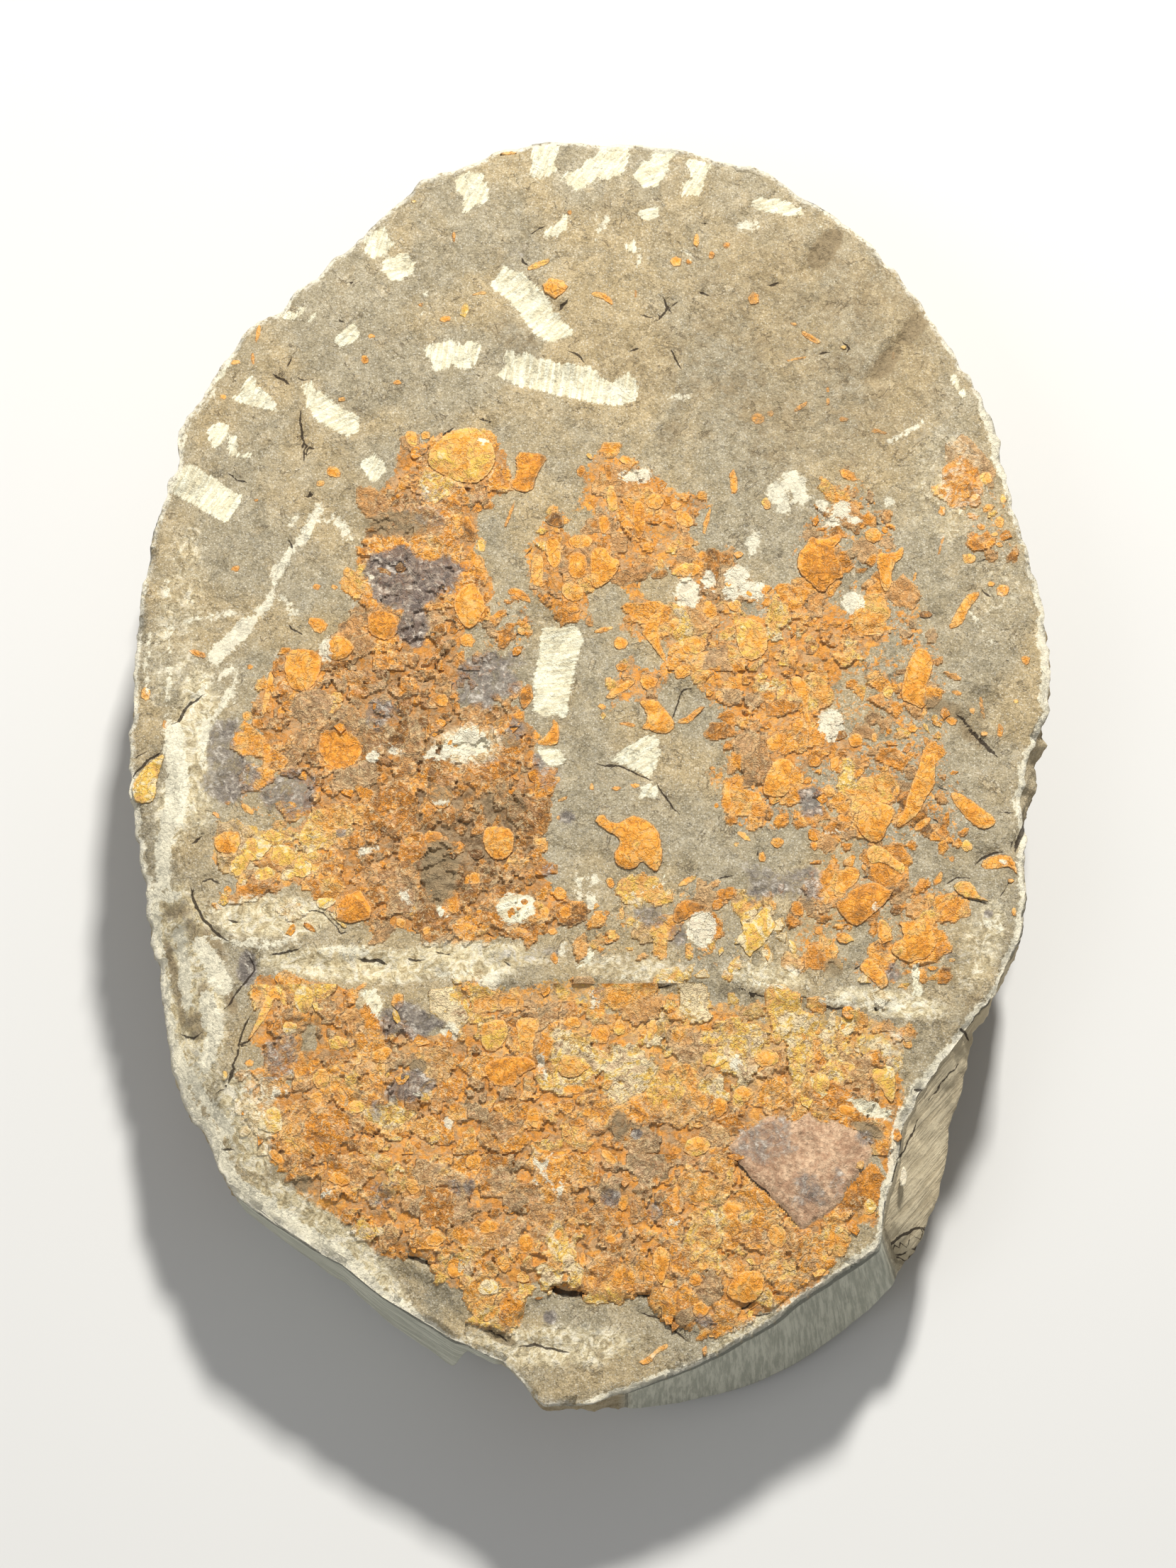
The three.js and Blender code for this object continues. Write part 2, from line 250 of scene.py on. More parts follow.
def stretch_gap(x: Array, y: Array, start: tuple, end: tuple) -> tuple[Array, Array, Array]:
    """Gap from points to a straight stretch.

    Args:
        x, y: the points.
        start, end: the stretch's ends.

    Returns:
        The gap, the share of the way along, and the side, +1 to the left.
    """
    across, up = end[0] - start[0], end[1] - start[1]
    length_squared = max(across ** 2 + up ** 2, 1e-9)
    share = np.clip(((x - start[0]) * across + (y - start[1]) * up) / length_squared, 0, 1)
    gap = np.hypot(x - start[0] - share * across, y - start[1] - share * up)
    side = np.where(across * (y - start[1]) - up * (x - start[0]) >= 0, 1.0, -1.0)
    return gap, share, side


def bearing_of(x: Array, y: Array) -> Array:
    """Bearing of points from the slab's middle, from 0 to a full turn in radians."""
    return np.mod(np.arctan2(y, x), 2 * np.pi)


def close_to(x: Array, y: Array, corners: Array, margin: float) -> Array:
    """Tells which points lie in the box around some corners, or nearer to it than a margin."""
    near = (x > corners[:, 0].min() - margin) & (x < corners[:, 0].max() + margin)
    return near & (y > corners[:, 1].min() - margin) & (y < corners[:, 1].max() + margin)


def inside_gap(x: Array, y: Array, outline: Points) -> Array:
    """How deep points lie inside a closed outline; outside it the value is negative.

    Args:
        x, y: the points.
        outline: corners of the outline, in order.

    Returns:
        Signed gap to the outline for each point.
    """
    least = np.full(np.shape(x), 1e9)
    crossings = np.zeros(np.shape(x), int)
    for (x1, y1), (x2, y2) in zip(outline, outline[1:] + outline[:1]):
        least = np.minimum(least, stretch_gap(x, y, (x1, y1), (x2, y2))[0])
        if y1 != y2:
            reached = x1 + (y - y1) * (x2 - x1) / (y2 - y1)
            crossings += ((y1 > y) != (y2 > y)) & (x < reached)
    return np.where(crossings % 2 == 1, least, -least)


def oval_share(x: Array, y: Array, oval: tuple) -> Array:
    """How far out points lie in an oval, 0 at its middle and 1 on its line.

    Args:
        x, y: the points.
        oval: middle x and y, two radii and the turn of the first, in degrees.

    Returns:
        The share for each point.
    """
    turn = math.radians(oval[4])
    across, up = x - oval[0], y - oval[1]
    along = (across * math.cos(turn) + up * math.sin(turn)) / oval[2]
    off = (up * math.cos(turn) - across * math.sin(turn)) / oval[3]
    return np.hypot(along, off)


# Pale crumbled strip along the rim: bearing in degrees and width in millimetres.
RIM_CHALK = np.array(rows("""
    0 1.6; 3 2.2; 8 2.6; 14 2.6; 19 1.8; 24 1; 30 .9; 36 2.4; 38 3.4; 41 2.4; 44 .7; 47 .4; 49 1.6; 51 .5;
    60 .4; 66 1.2; 72 .6; 90 .9; 110 .7; 122 1.2; 128 .8; 138 .9; 146 2; 150 .8; 158 .9; 170 1.1; 180 1;
    188 1.3; 196 2; 204 2.2; 214 2.6; 222 3.2; 232 4.4; 240 4.6; 248 3.4; 253 1.6; 258 .6; 268 .8; 272
    1.6; 276 2; 280 1; 288 1.2; 296 2; 301 2.8; 306 3.4; 312 3; 318 2; 330 1.2; 336 2.4; 342 2.4; 350 1.6;
    357 2
"""))

# Open cracks of the bedding face and of the bevel beside it, and dark lines where a step's shadow falls, all
# painted near-black as shade: half the width, then the points.
CRACKS_AND_SHADOW_LINES = lines("""
    .55 -58.5 -55.7 -55 -56 -53 -56 -51 -57; .35 -46.5 -55.5 -44 -56 -41 -56; .3 -81 -54.5 -77 -54 -72
    -52.5; .25 -39 -54 -35 -54.5; .3 -22 -56 -20 -57.5; .3 -27.5 -48 -24 -50; .3 15 -62.5 18 -63 20 -62.5;
    .35 36 -63 39.5 -64 42 -65 48 -65.3 56.5 -66; .8 40 -64.5 41.5 -65; .45 56.5 -67.3 61 -68 67 -68.6; .8
    70.7 -68.3 72 -68.3; .6 92.3 -72.8 93.8 -73.5 95 -74.6; .5 -101 -36 -99.5 -41 -97.5 -45 -94 -49 -90
    -51.5; .39 -86 -54 -84 -58 -87 -62 -90 -66 -92 -69; .33 -84.5 -69 -87 -74 -88 -79 -88.5 -83 -91 -89;
    .33 -87 -77 -89 -83 -90.5 -87 -94 -89.5; .95 -13 -136 -10 -137.5 -6 -139.4 -3 -139 1 -139.2 5 -139.2
    10 -140.6; .45 8 -138.8 12 -139.2 15 -140 18 -142 20 -143.5 23 -147 27 -149; .35 10.5 -143 15 -144.5
    19 -146 21 -148.5 24.5 -151.5; .6 -47 -130 -44 -130.5 -42 -131 -39.5 -132 -36.5 -134.5; .4 -18 -152
    -14 -151.5 -8 -153 -4.5 -153.6; .35 34 -144 38 -142.5 41 -140.5 45 -140 49 -139.8; .3 38 -144.6 42
    -144.4 45 -144; .35 -28 -147 -24 -148 -20 -151; .5 34 -103 35.5 -105.5 37 -108 40 -111.5 43 -114 46
    -117; .45 46 -117 49 -120.5 52 -124 54 -125; .5 71 -129.5 76 -124.5 80 -122 85 -120.8; .3 72 -130 76
    -128 80 -126.5; .35 72 -134.5 75 -131 80 -128 84 -122; .9 73.5 -137.5 75 -137.3; .9 111.5 -18 110 -21
    108.5 -24 107 -28; .3 104.5 -17.5 107.5 -17.3; .2 106 -34 105 -37 103 -40; .75 93 8.8 95 7.5 97 5 100
    1.5 102 -1 104 -3.5; .25 99.5 49.4 104.3 51.2; .4 100.4 42 103.2 40.1; .55 -98.5 14 -102 11.5 -104 9
    -105 6.5 -107 6; .45 -108.5 -1.6 -112.5 -3 -115 -5.6 -117 -8; .25 -117 -2.8 -112 -.5; .5 -101 -26 -98
    -23.8; .4 -91 -45.9 -87.5 -46.5; .35 -103 -73 -99.5 -75 -97 -73.5; .3 -90 -7.5 -87 -8.2 -83 -7.5; .5
    -75.3 92 -75.8 88 -74.6 82 -74.4 76.5; .35 -74.8 82.5 -71.5 80.5; .3 -94.2 74.2 -92 72.5 -89 71.5; 1.2
    -73 68.9 -72.6 67.6; .3 -78 55.8 -77 53; .35 -77.5 32.4 -73.8 29.4; .3 -55.2 36.3 -49 34; .45 -68 23.2
    -65.8 20.9 -61.3 20 -59.8 21; .55 -43 16.5 -40.2 19.6 -36.6 25.5; .35 -30.2 44.2 -27.7 46; .35 -16.3
    51.2 -15.2 53; .3 -23 35.7 -20.2 34.9; .35 -10 35.1 -7.2 33.1; .3 -20.5 28.4 -18.6 30.2; .6 32.4 47.4
    35 48.6 37.4 50.4; .3 12 44.8 12.2 42.7; .3 15.2 34.9 20.2 36.3; .3 7.5 69.9 10.8 67; .3 13 66.1 15.2
    62.9; .55 72.3 61.1 75.3 59.3; .3 -29.6 89.2 -25.2 88.1; .6 -42.3 79.5 -41 82 -37.2 85.3 -35 86.6; .5
    -83 101.5 -80.5 100 -78 98.4; .3 -78.2 106.5 -79.5 103.5; .3 -76.5 100.5 -74 99.8; .4 19 123.7 19.5
    122 20.5 119.8 19 118.5 17 116; .3 20.5 119.8 23.5 122; .25 13 118 16.5 117.5; .3 21 108.4 22.5 105
    24.2 102.3; .4 10.3 108 12.7 109; .5 -8.2 119.8 -6 122.2; .55 -18.2 134.2 -16.6 132; .4 -6 108.3 -3
    107 -1 104; .4 29 124.6 31.2 123.6; .3 29.3 144 31 144.2; .25 -16 141 -14 142.7 -12 143.5; .4 46.8
    126.4 49.8 127.1; .35 59.3 107 62.5 107.5; .4 66 110.5 68 109 67.3 107.3; .25 -69.5 14 -67 12.5 -65
    10; .25 -65 -25 -62 -25.5; .35 -47.6 -14 -50 -18.3; .25 -46 -20 -48 -24 -50.5 -29; .3 -58.5 -31.8 -56
    -33 -54 -35.2; .3 26.5 15.5 23 15 22.5 12 20.5 7 18.5 6; .35 25.7 8.4 28.7 9.6; .35 1 -4.5 3.5 -5.5 7
    -5 10 -6.5 13 -8 16.5 -9.3; .3 16.5 -9.3 18 -12 20 -15 23 -19; .4 -32 -37 -31.5 -41 -34 -45; .25 32
    -35 36 -34; .35 41.5 11.6 45.3 12; .45 50 18 52.5 19.2 55 17.5; .3 81.8 9.7 84 8.4 86.3 10.6; .4 67.6
    -16 70.5 -14.2 72.5 -14.9 76 -14.4 78 -16; .45 97 -31.7 99 -29 101.5 -28 105 -27.7; .3 89.5 -36.6 92.5
    -34.5 96 -35.2; .25 90.5 -38 94 -40 101 -41.5; .45 91 -40.3 88 -44 85 -46.6; .4 68.3 -34.5 70.5 -34.5
    71.6 -35.2; .55 71 -34 72.5 -32.4 74.2 -31.4; .4 86.7 -52 84.5 -55.5 82.3 -57.7; .35 80.3 -43.3 82
    -45.6 83.2 -45.3; .35 65.8 -58.6 68.5 -57; .2 60.5 -22 61 -25 61 -28; .4 -58.5 -99 -54 -100.2 -50.8
    -99; .35 -52.3 -84.8 -48.8 -86; .4 -85 -100 -82.5 -93 -79 -89 -76 -90; .45 -86.8 -76.8 -85 -76; .35
    -92.3 -102.4 -88.3 -103; .35 -74.2 -63.2 -72 -61.9 -69.3 -63; .25 4.5 -100 6 -96 8 -93 10 -97; .45 -31
    -69.5 -28 -68.3 -26 -67.8; .3 13 -73 15 -70.8 17.5 -72 18 -75; .55 30.3 -78 33.2 -78.7; .45 -31 -112.5
    -29.8 -117; .5 -21 -104.6 -18.6 -108; .2 24 -116.6 28 -116.9 31.5 -117.8; .35 54.6 -84.9 57 -83.6 59.4
    -84.8; .4 70.8 -81 74 -82.2 76.3 -82; .3 75 -108 78 -103 80 -99 82 -94; .25 84 -91 88 -86 93 -80; .35
    80.5 -88.5 82.5 -88; .3 -66 117 -64.5 116; .6 -63.3 128 -62.6 128; .3 44 -16 45 -13.8; .4 42 -28.8
    42.6 -27.5; .3 -10 -91 -8 -94; .35 -98 -36 -95.5 -34.8 -93 -36.5; .3 -84.6 -40 -82.5 -37 -81 -36.4; .3
    88 -10.8 91 -11.6; .35 83.5 -18.5 82 -20.5; .3 86 -19 90.5 -22; .3 -64 -48.5 -61 -49.3; .25 -72 -43
    -67 -43.6 -63.5 -48 -60 -49
""", 1)

# Bruises left by chisel and hammer: direction of the strokes in degrees, then the outline.
BRUISES = lines("""
    57 -107 77 -104 77 -90 67.5 -93.5 60 -96 60.8 -108.5 69; 40 -27.5 126.5 -23.5 130 -23 133.5 -21 131
    -18.5 130.5 -12 124.5 -9.5 119.5 -6 116 -3.5 113.5 -5.5 112 -9.5 110 -13 111 -16 114.5 -20 120 -25
    125.5; 82 -25 101.5 -22.5 104.5 -23 108 -20 108 -19.5 107 -17 107.5 -14 106 -8 104.5 -3 104 0 103.5 3
    101 6 99.5 10 102.5 12.5 99 12 94.5 7.5 92.4 2 93 -3 94.6 -12.5 96.4 -20 98.4; 8 -12.5 32 -4 32.5 -1.5
    29 -3.5 22 -5 14 -6 7.5 -9 8 -12 7 -15 9 -14.5 16 -13.5 24; 10 -14 -.5 -9 -.5 -6 -2 -7 -5 -9.5 -6 -12
    -4; 60 -34.5 148.5 -33 147.5 -30 149.5 -27 151 -27 155 -29 159.5 -32 160 -36 158.5 -36 155 -34 152; 70
    -16 167 -9 168.5 -8 166 -9 162 -9 159 -13 157 -16 158 -15.5 162; 50 3 168 10.5 168 10 163 9 159 5
    156.5 2 157 -1 155 -4 153 -5 154.5 -8 157 -6.5 159 -3 160.5 -1 163 1 164; 30 13 162 16 162.5 17 167.5
    24 166 21.5 162.5 20.5 159 18 154.5 14 154.5 11 157; 60 25 163 28 163.3 33 161.5 31 158 29 152 24 152
    24.5 156 27 157 26 160; 20 12.5 147 15 148.5 18 149 18.5 146 16 144.5 14 145.5; 60 -7 147 -5.5 146.5
    -6 142 -9 140 -12 139.5 -12 142 -9 144; 80 11 140 12 137.5 13.5 136 9.5 135.5 9.5 137.5; 75 -60 141
    -57 143 -55 144.5 -53 141 -51.5 138 -54 136 -57 134 -60 136; 20 -55 134.5 -48 136.5 -47.5 135 -46
    133.5 -46.5 130.5 -50 128 -53 128 -55 131; 60 -83 120.5 -80.5 119.6 -77.5 119.6 -75.5 121.5 -74.2 121
    -75.5 118.5 -78 117 -80.5 117.4; 40 -75 116 -73.5 115.8 -71.5 119 -72.5 119.5; 50 -67.5 110 -65 109
    -62.5 110 -60.5 111.5 -58.5 111 -60.8 113 -62 116.5 -64 114.5 -66.5 112; 65 -98.5 99 -96 101 -94 105
    -94.5 106.5 -96 105 -99.2 100.3; 50 -93.5 94.5 -91 98 -90 101.5 -88 101 -87 98 -83.5 95.5 -81 90.6 -88
    92; 80 -44 108.5 -41 110 -37 111.5 -34 109.5 -31 111 -28.5 110 -29 106 -31.5 103 -34 102.5 -36 104 -39
    102 -41 102.5 -42 105; 50 -36.8 119 -35.6 118.6 -34 115.2 -35.4 115.4; 60 -100 86 -97 88.5 -94 87
    -94.5 83 -98 80.5; 60 -94 84 -92 84.5 -91.5 80 -88 79.5 -88 77.8 -94 78; 80 -75.5 98.6 -72 99.5 -71.8
    92 -74.5 92; 30 -73.6 92 -72.5 97 -69 96.5 -66 93 -60.5 90 -60 85.5 -63 83.5 -68 86 -72 89; 60 -60.2
    76.5 -56 79.6 -52 75 -56.5 71; 20 42 150 45 152.5 50 152 56 149 57 147 53 146.2 49 147.5 44 148; 60
    93.5 101.5 95.5 102.5 97 98.5 98.5 96 97 95.3 95 98; 75 -106 5 -104 5 -102.5 -2 -102 -8 -101.5 -14
    -102.5 -20 -107.8 -20 -109 -14 -107.6 -8 -106.7 -2; 35 4 -4 9 0 13 2.5 17 3 18 -2 16.5 -6 15.5 -9 12
    -7 8 -4.5; 60 13 -10.5 16 -10 17.5 -12 16.5 -14 14 -13.5 12.5 -14; 20 -23.5 -40 -20 -38.5 -16 -38.7
    -14 -39.5 -14 -44 -17 -46.5 -21 -47 -24 -44.5; 50 19.3 -34 18.3 -34 18.2 -35.8 15.3 -37 15.7 -38.2
    18.8 -36.6; 40 -39.3 -41.5 -38 -41 -35.6 -45 -37.4 -45.4; 40 -5 -57 -1 -55.6 -.5 -52 .6 -52 .3 -56.5
    -4 -58.2; 30 63 -91 66 -90.5 71 -92 75 -94 75 -97 72 -96 68 -95.5 66 -94; 70 80.7 -57 82.3 -57 82.3
    -61 83.6 -65.5 80.2 -65 80.6 -61; 60 -57.5 -64 -54 -63 -51.5 -66 -52.5 -71 -55 -69.5
""", 1)

# Chalky, ragged patches: middle x and y, two radii and the turn of the first.
CHALK = rows("""
    11.5 73 4.5 2.2 0; 25 41 3.8 4.8 0; 77.6 66 1.7 1.5 0; 42 54.5 1.7 3.8 -10; 67.5 38.5 3.4 3.4 0; 61.5
    5.6 3.6 4.7 10; -31 .2 6.5 3.6 0; -38 -2 4 2 0; 28 -48 3.9 4.4 0; -3 -35 1 1.6 40; .8 -35.4 1.2 1.7
    -30; .3 -41 1.3 3 10; -2.9 -38.6 .7 2 20; -55 -3 1.7 1.4 30; -50 -1.5 3 1 -20; -46.5 -40 1.2 3.2 25;
    -57 -28 2.6 1 20; -43.5 145 2 .5 -30; 41.5 144 2.8 1.6 0; 60.8 144 1.4 1 -20; -43.3 124.2 .9 1.4 30;
    -44 118.6 .8 .7 0; 22 95 3.6 .8 0; 6.5 97 3.5 2 0; -12 -82.5 1 4.6 12; -35.5 -97.5 1.3 1.4 0; -43 -90
    1.1 .9 0; 72 -42.5 1.4 1.2 0; 74.8 -44.4 1.8 .6 -30; 104 -30.6 .9 .8 0; -27.7 82.2 1.3 1.2 0; -42.5
    69.5 .9 .9 0; -7 -54.5 .8 2 0; -35 -74 2.4 2.4 -20; 19 -61.8 2.2 .6 0; -63.6 58.5 1.4 4 20; -77.3 36
    .9 2.2 10; -97 34.2 4 .6 8; -67.8 26 1.8 3.4 0; .7 -66.5 .9 3 5; 100 -46.5 3.4 1.3 -10; -25 -61 3 2.4
    40; 36 -81.5 1.4 2 0; -56.5 45 1 1 0; 37 25 .8 .5 0; -7.5 -114 1 2.8 -12; -12 -109 .8 3 -30; -26 -62 2
    1.2 0; -90 -98 1.4 3 10; -86 -89 2.4 1.5 0; -78 -90 2 1 20; -66 -115 1.8 1 30; 20.8 -122 1.5 .7 0; -60
    -53.6 12 .9 -2; -34 -59.5 5 .8 5; 75 -67.6 7.5 1.2 -6; 62 -66.5 6 .8 -8; 8 -60.4 4 .6 0; 48 -62.8 5 .6
    -5; 48.5 68 2.8 3.6 0; 52.5 71.5 3.6 3 20; 54.5 67.5 2.6 3 0; 50 64.5 2.2 2 0; 60 64.5 2.4 2 -30; 65
    63.5 3.2 2.4 30; 63 60.5 3.2 1.8 10; 68.5 60.5 1.8 1.2 0; 38 45.5 3.4 3 30; 41.5 42 3.6 2.6 -20; 36 41
    2 2.4 0; 30.5 44 1.8 3 0
""")

# Chalky lines: half the width, then the points.
STREAKS = lines("""
    .9 -77.5 60 -76 62; .6 -91 21 -91 12; 1.6 -105.5 5 -105.5 0; 2.4 -107 -20 -108 -27 -108 -35; 1.2 -98 6
    -98.5 0 -98.5 -6; .8 -104 33 -98 34.5 -92 36; .5 -113 30 -114 22 -113 14; 1 -92 15 -95 9 -97 6; .9 -69
    61 -66 60; .5 78 82.4 83 85.5 86.5 87.6 88 89.8; .4 60 -23 65 -22.5; .4 9 -39 13 -38.4 15.5 -37.4; .35
    12 130 12.8 133 13.5 136.5; .35 24 137 25.5 135.5 27 133.5; .35 1 147 2.5 143 1.5 139; .35 4.5 146 3.5
    142.5; .5 -38 112 -36 110.8 -34 109.4; .5 97 37 100 32 103 27; .7 -95 -50 -88 -52 -80 -52.6; .6 -86
    -50.4 -80 -51.6 -74 -51.4; .5 -40 -15.5 -36 -15; .5 -14 -106 -11.5 -110 -9 -114; .5 -98 98 -104 89
    -107 80; 1.5 -70.5 64 -72.5 60 -74.5 55; 1.2 -75 56 -78 51 -81 46; .7 -81 46 -81.5 41; 1.4 -81.5 41
    -84.5 36 -88 32.5; 2.6 -88.5 32 -92 28 -96 24; .8 -92 20.5 -99 15 -102 9.5; .6 -110 50 -108.5 41; .7
    -108.2 32 -107.6 20 -108.2 8; 1.4 -107.5 6 -106.5 0; 2.6 -106 0 -105 -6; 3.4 -105 -8 -105.6 -18; 1.1
    -79.5 40 -75 35.5; 1.2 -66 62 -63 57; 1.5 -110 -42 -109 -52 -107 -62 -105 -74 -101 -84; 1.8 -104 -48
    -102 -56 -101 -66; 2.6 -98 -52 -94 -58 -92 -63; 2.4 -96 -66 -94 -74 -96 -82; 1.6 -112 -38 -104 -39;
    1.6 -100 -84 -95 -92 -90 -98
""", 1)

# Where the crushed shell lies thick: cover, shift of its colour, then the outline.
CRUSHED = lines("""
    .95 -.1 -48 82 -33 86 -23 80 -20 72 -27 62 -30 50 -27 44 -27 37 -33 31 -34 22 -33.5 11 -20 10 -15 5
    -14 -5 -10 -13 -13 -22 -12 -36 -5 -40 -5 -48 -14 -50 -21.6 -49 -33.3 -53 -45 -50 -54 -48 -66.3 -39 -72
    -36 -84 -37 -95 -31 -94 -22 -86 -21 -78 -25 -72 -18 -70 -9 -78 -7 -85 -3 -84.5 10 -80 23 -68.3 27 -61
    31 -58.6 38 -60 50 -58 62 -52.7 72; .62 0 -12 64 -5 64 2 80 13 80 20 70 32 67 38 50 36 36 44 36 50 42
    56 40 70 36 72 24 60 12 58 2 68 0 66 -4 58 -6 52 -14 43 -14 44 -4 38 0 37 8 30 14 27 22 14 12 5 10 8
    22 16 27 3 32 -6 34 -16 42 -16 52 -12 58; .95 .04 -82 -61 -70 -61.5 -60 -66 -48 -72 -38 -69 -30 -69
    -20 -68 0 -68 21 -68.5 40 -70 52.3 -73 62 -76 76 -80 76.5 -92 75.5 -104 71 -117 70 -124 60 -130 56
    -138 45 -143 34 -147 27 -148.5 20 -143.5 15 -139.5 -6 -138.5 -14 -138 -18 -146 -28 -146 -31 -139 -36
    -136 -41 -131.5 -50 -130 -55 -127 -60 -121 -64 -119 -70 -116 -74 -110 -80 -105 -85 -99 -88 -92 -82 -82
    -84 -74; .34 -.02 96 76 103 76 110 66 110 54 104 50 96 54 94 66; .4 0 72 72 78 64 80 50 70 48 56 42 50
    50 56 60 66 76; .45 -.04 56 -32 64 -28 78 -27 80 -36 90 -44 88 -58 70 -66 62 -56 52 -58 48 -46; .42 0
    62 -4 78 4 90 2 88 -22 66 -27 60 -12; .4 0 38 44 60 44 74 46 84 40 88 30 92 16 92 0 94 -20 90 -34 88
    -56 78 -64 62 -58 54 -44 58 -28 46 -22 34 -22 30 -8 34 8 26 20 30 34; .75 .02 34 36 50 36 62 34 74 34
    76 28 66 22 58 20 58 8 52 -14 43 -14 40 0 36 12; .34 0 -34 31 -27 37 -17 42 -14 34 -17 20 -19 11 -33
    11; .3 .12 -5 -38 10 -38 34 -36 56 -44 58 -56 40 -60 20 -58 -4 -56; .62 .24 -34 -62 -20 -61 0 -62 20
    -63 40 -66 60 -69 80 -73 79 -82 60 -78 40 -72 0 -69 -34 -70; .3 .1 -94 -30 -84 -38 -70 -40 -66 -46 -70
    -52 -86 -50 -96 -42; .34 0 -90 -8 -80 -6 -69 -9 -69 -18 -80 -21 -90 -19
""", 2)

# Stone showing through the crust: ovals as above.
BARE = rows("""
    -25 55 4 11 0; 5 38 4.5 6 0; -93 -4 5 8 10; 18 44 5 5 0; 30 56 5 7 0; -3 60 4 3 0; -72 -80 2.6 8 -20;
    45 -103 6 7 40; 58 -110 8 8 0; 52 -116 4 5 0; 66 -126 5 4 25; -55 -68 4 4 0; 40 60 7 5 0; 84 -30 5 6
    0; 66 -52 4 4 0; 15 24 4 4 0; -40 -72 7 3 0; 70 -110 3.2 9 8
""")

# Dark purple-grey stains; dull brown stains mixed with painted shade on the shadowed flanks of steps and
# troughs and on the scoop's rim; and pale dusting, all as ovals with a strength.
PURPLE = rows("""
    11.5 -100 1.6 1.6 0 .9; 5 -116 3 2.6 0 .7; -10 -145 2 2.2 0 1; 100 -44 1.6 1.4 0 .9; 22 -50 3 4 0 .7;
    -6 -19 2.6 2.4 0 .8; 76 -59 2.5 3 0 .7; -86 -58 3 5 0 .9; 78.5 -95.5 1.5 1.3 0 1; 68 -101 3 2.5 0 .7;
    -10 -33 3 2.5 0 .6; -19 4 3 4 0 .6; -13 -4 2 3 20 .7; -63 -23 1.8 1.6 0 .8; -44 64 5 6 0 .3; -20 -55 6
    3 0 .5; 61 -112 2.5 5 0 .5; -30 -113 2 3 0 .7; 16 -119 3 3 0 .6; -53 -94 2.5 3 0 .6; -18 136 3 3 0 .4;
    2 -64 2.5 3 0 .5; -3 -68 3 2 0 .3; 28 -146 4 1.6 -25 .7; -19 135 3.5 2 0 .4
""")
# Painted shade: some of these ovals darken flanks of steps and troughs and the scoop's rim that face away
# from the light; the rest are dull brown stains.
DULL_AND_SHADE = rows("""
    -38 -33 5 10 0 .8; -38 -13.5 3.6 3.4 0 .5; -50 60 10 4 0 .5; 90 10 6 2.6 -20 .7; 62 137.5 3.2 7 -38
    1.1; 85.5 115.5 2.5 7 -40 1.1; 77.5 105 2.5 6 -38 1.1; 21 85 3 8 -18 .4; 25 112 18 12 40 .22; -20 112
    8 6 -40 .3; 40 128 8 3 -20 .3; 5 110 9 4 -20 .25; -71 -74 5 10 -15 .35; -22 -16 7 8 0 .3; -20 1 3 2 0
    .5; -43 -83 2.4 2.2 0 .9; 69 -99 4.5 1.8 -25 .9; 7 -98 2.6 4.5 0 .5; -98 -72 3.4 4.6 30 .5; -95 -52 3
    6 35 .6; -104 -61 2.6 7 15 .4; -97 -64 2 3.4 0 .5; -102 -42 5 4 0 .35; -71 -112 3 2.4 0 .5; -22 -149.6
    4.6 1.5 -27 .9; 97 3 5 2 -45 .6; 61 -58 3 3 0 .5; 98 9 5 4 0 .25; -80 100 5 2 -25 .3; 54 115.4 2 1.2 0
    .4; -107 -74 1.4 12 8 .35; 95 -70 4 9 -20 .25; 80 -104 2 12 -18 .3; -99 -50 1.8 7 25 .5; -94 -58 1.6 6
    32 .5; -103 -66 1.6 8 8 .5; -98 -73 2.6 4 20 .5; -104 -43 5 2.4 0 .5; -90 -66 1.6 4 20 .8; -106 -54
    1.2 6 16 .8; 58 108 44 44 0 .3; 20 100 24 10 -20 .25
""")
DUSTED = rows("""
    -106 34 7 30 -6 .3; -100 74 12 16 20 .1; -60 128 22 12 40 .08; 0 160 40 8 0 .16; -60 -57 26 5 -3 .65;
    -28 -58 10 4 0 .6; 10 -58 16 4 0 .35; 44 -60 12 4 -8 .5; 75 -67 16 4 -8 .6; 92 70 12 20 0 .25; -101
    -66 9 26 12 .6; -84 -92 8 10 0 .4; -10 -152 26 6 0 .45; 40 -148 16 3 26 .5; -106 -18 5 12 0 .5; -80
    -45 18 6 0 .6; 98 -52 6 14 -20 .4; -31 0 10 6 0 .5; -101 -58 9 24 12 .95; -66 -126 26 7 -38 .8; -86
    -98 6 14 20 .8; -30 -55 20 4 0 .75; -100 0 8 26 0 .5; 64 -50 3 3 0 .2; 97 -50 4 6 0 .3; 76 -78 5 5 0
    .3; 106 40 6 10 0 .2
""")

# Ovals that shift the colour of the crust: a minus is browner, a plus yellower.
SHIFTS = rows("""
    -30 -22 19 18 0 -.13; -50 57 13 12 0 -.16; -50 -10 14 15 0 -.06; 60 -96 8 4 0 -.14; 42 -50 8 8 0 .28;
    15 -51 4 4 0 .26; -30 -50 5 3 0 .24; -71.5 -66 4 5 0 .26; -36 -65 4 4 0 .28; 6 -66 3 3 0 .26; 68 -82
    10 7 0 .2; 30 -78 24 6 0 .12; -10 -90 20 10 0 -.08; 15 -105 16 10 0 -.04; -40 78 14 8 0 .1; 46 18 16
    14 0 .04; -68 16 12 8 0 .06; -60 28 8 8 0 .04; 36 -98 5 3 0 -.12; 56 -130 8 6 0 .08; -68 -100 14 16 0
    -.04; -36 -18 26 30 0 -.07; 26 -80 54 13 0 .14; -83 -28 15 10 0 .4; -88 -28 8 9 0 .3
""")

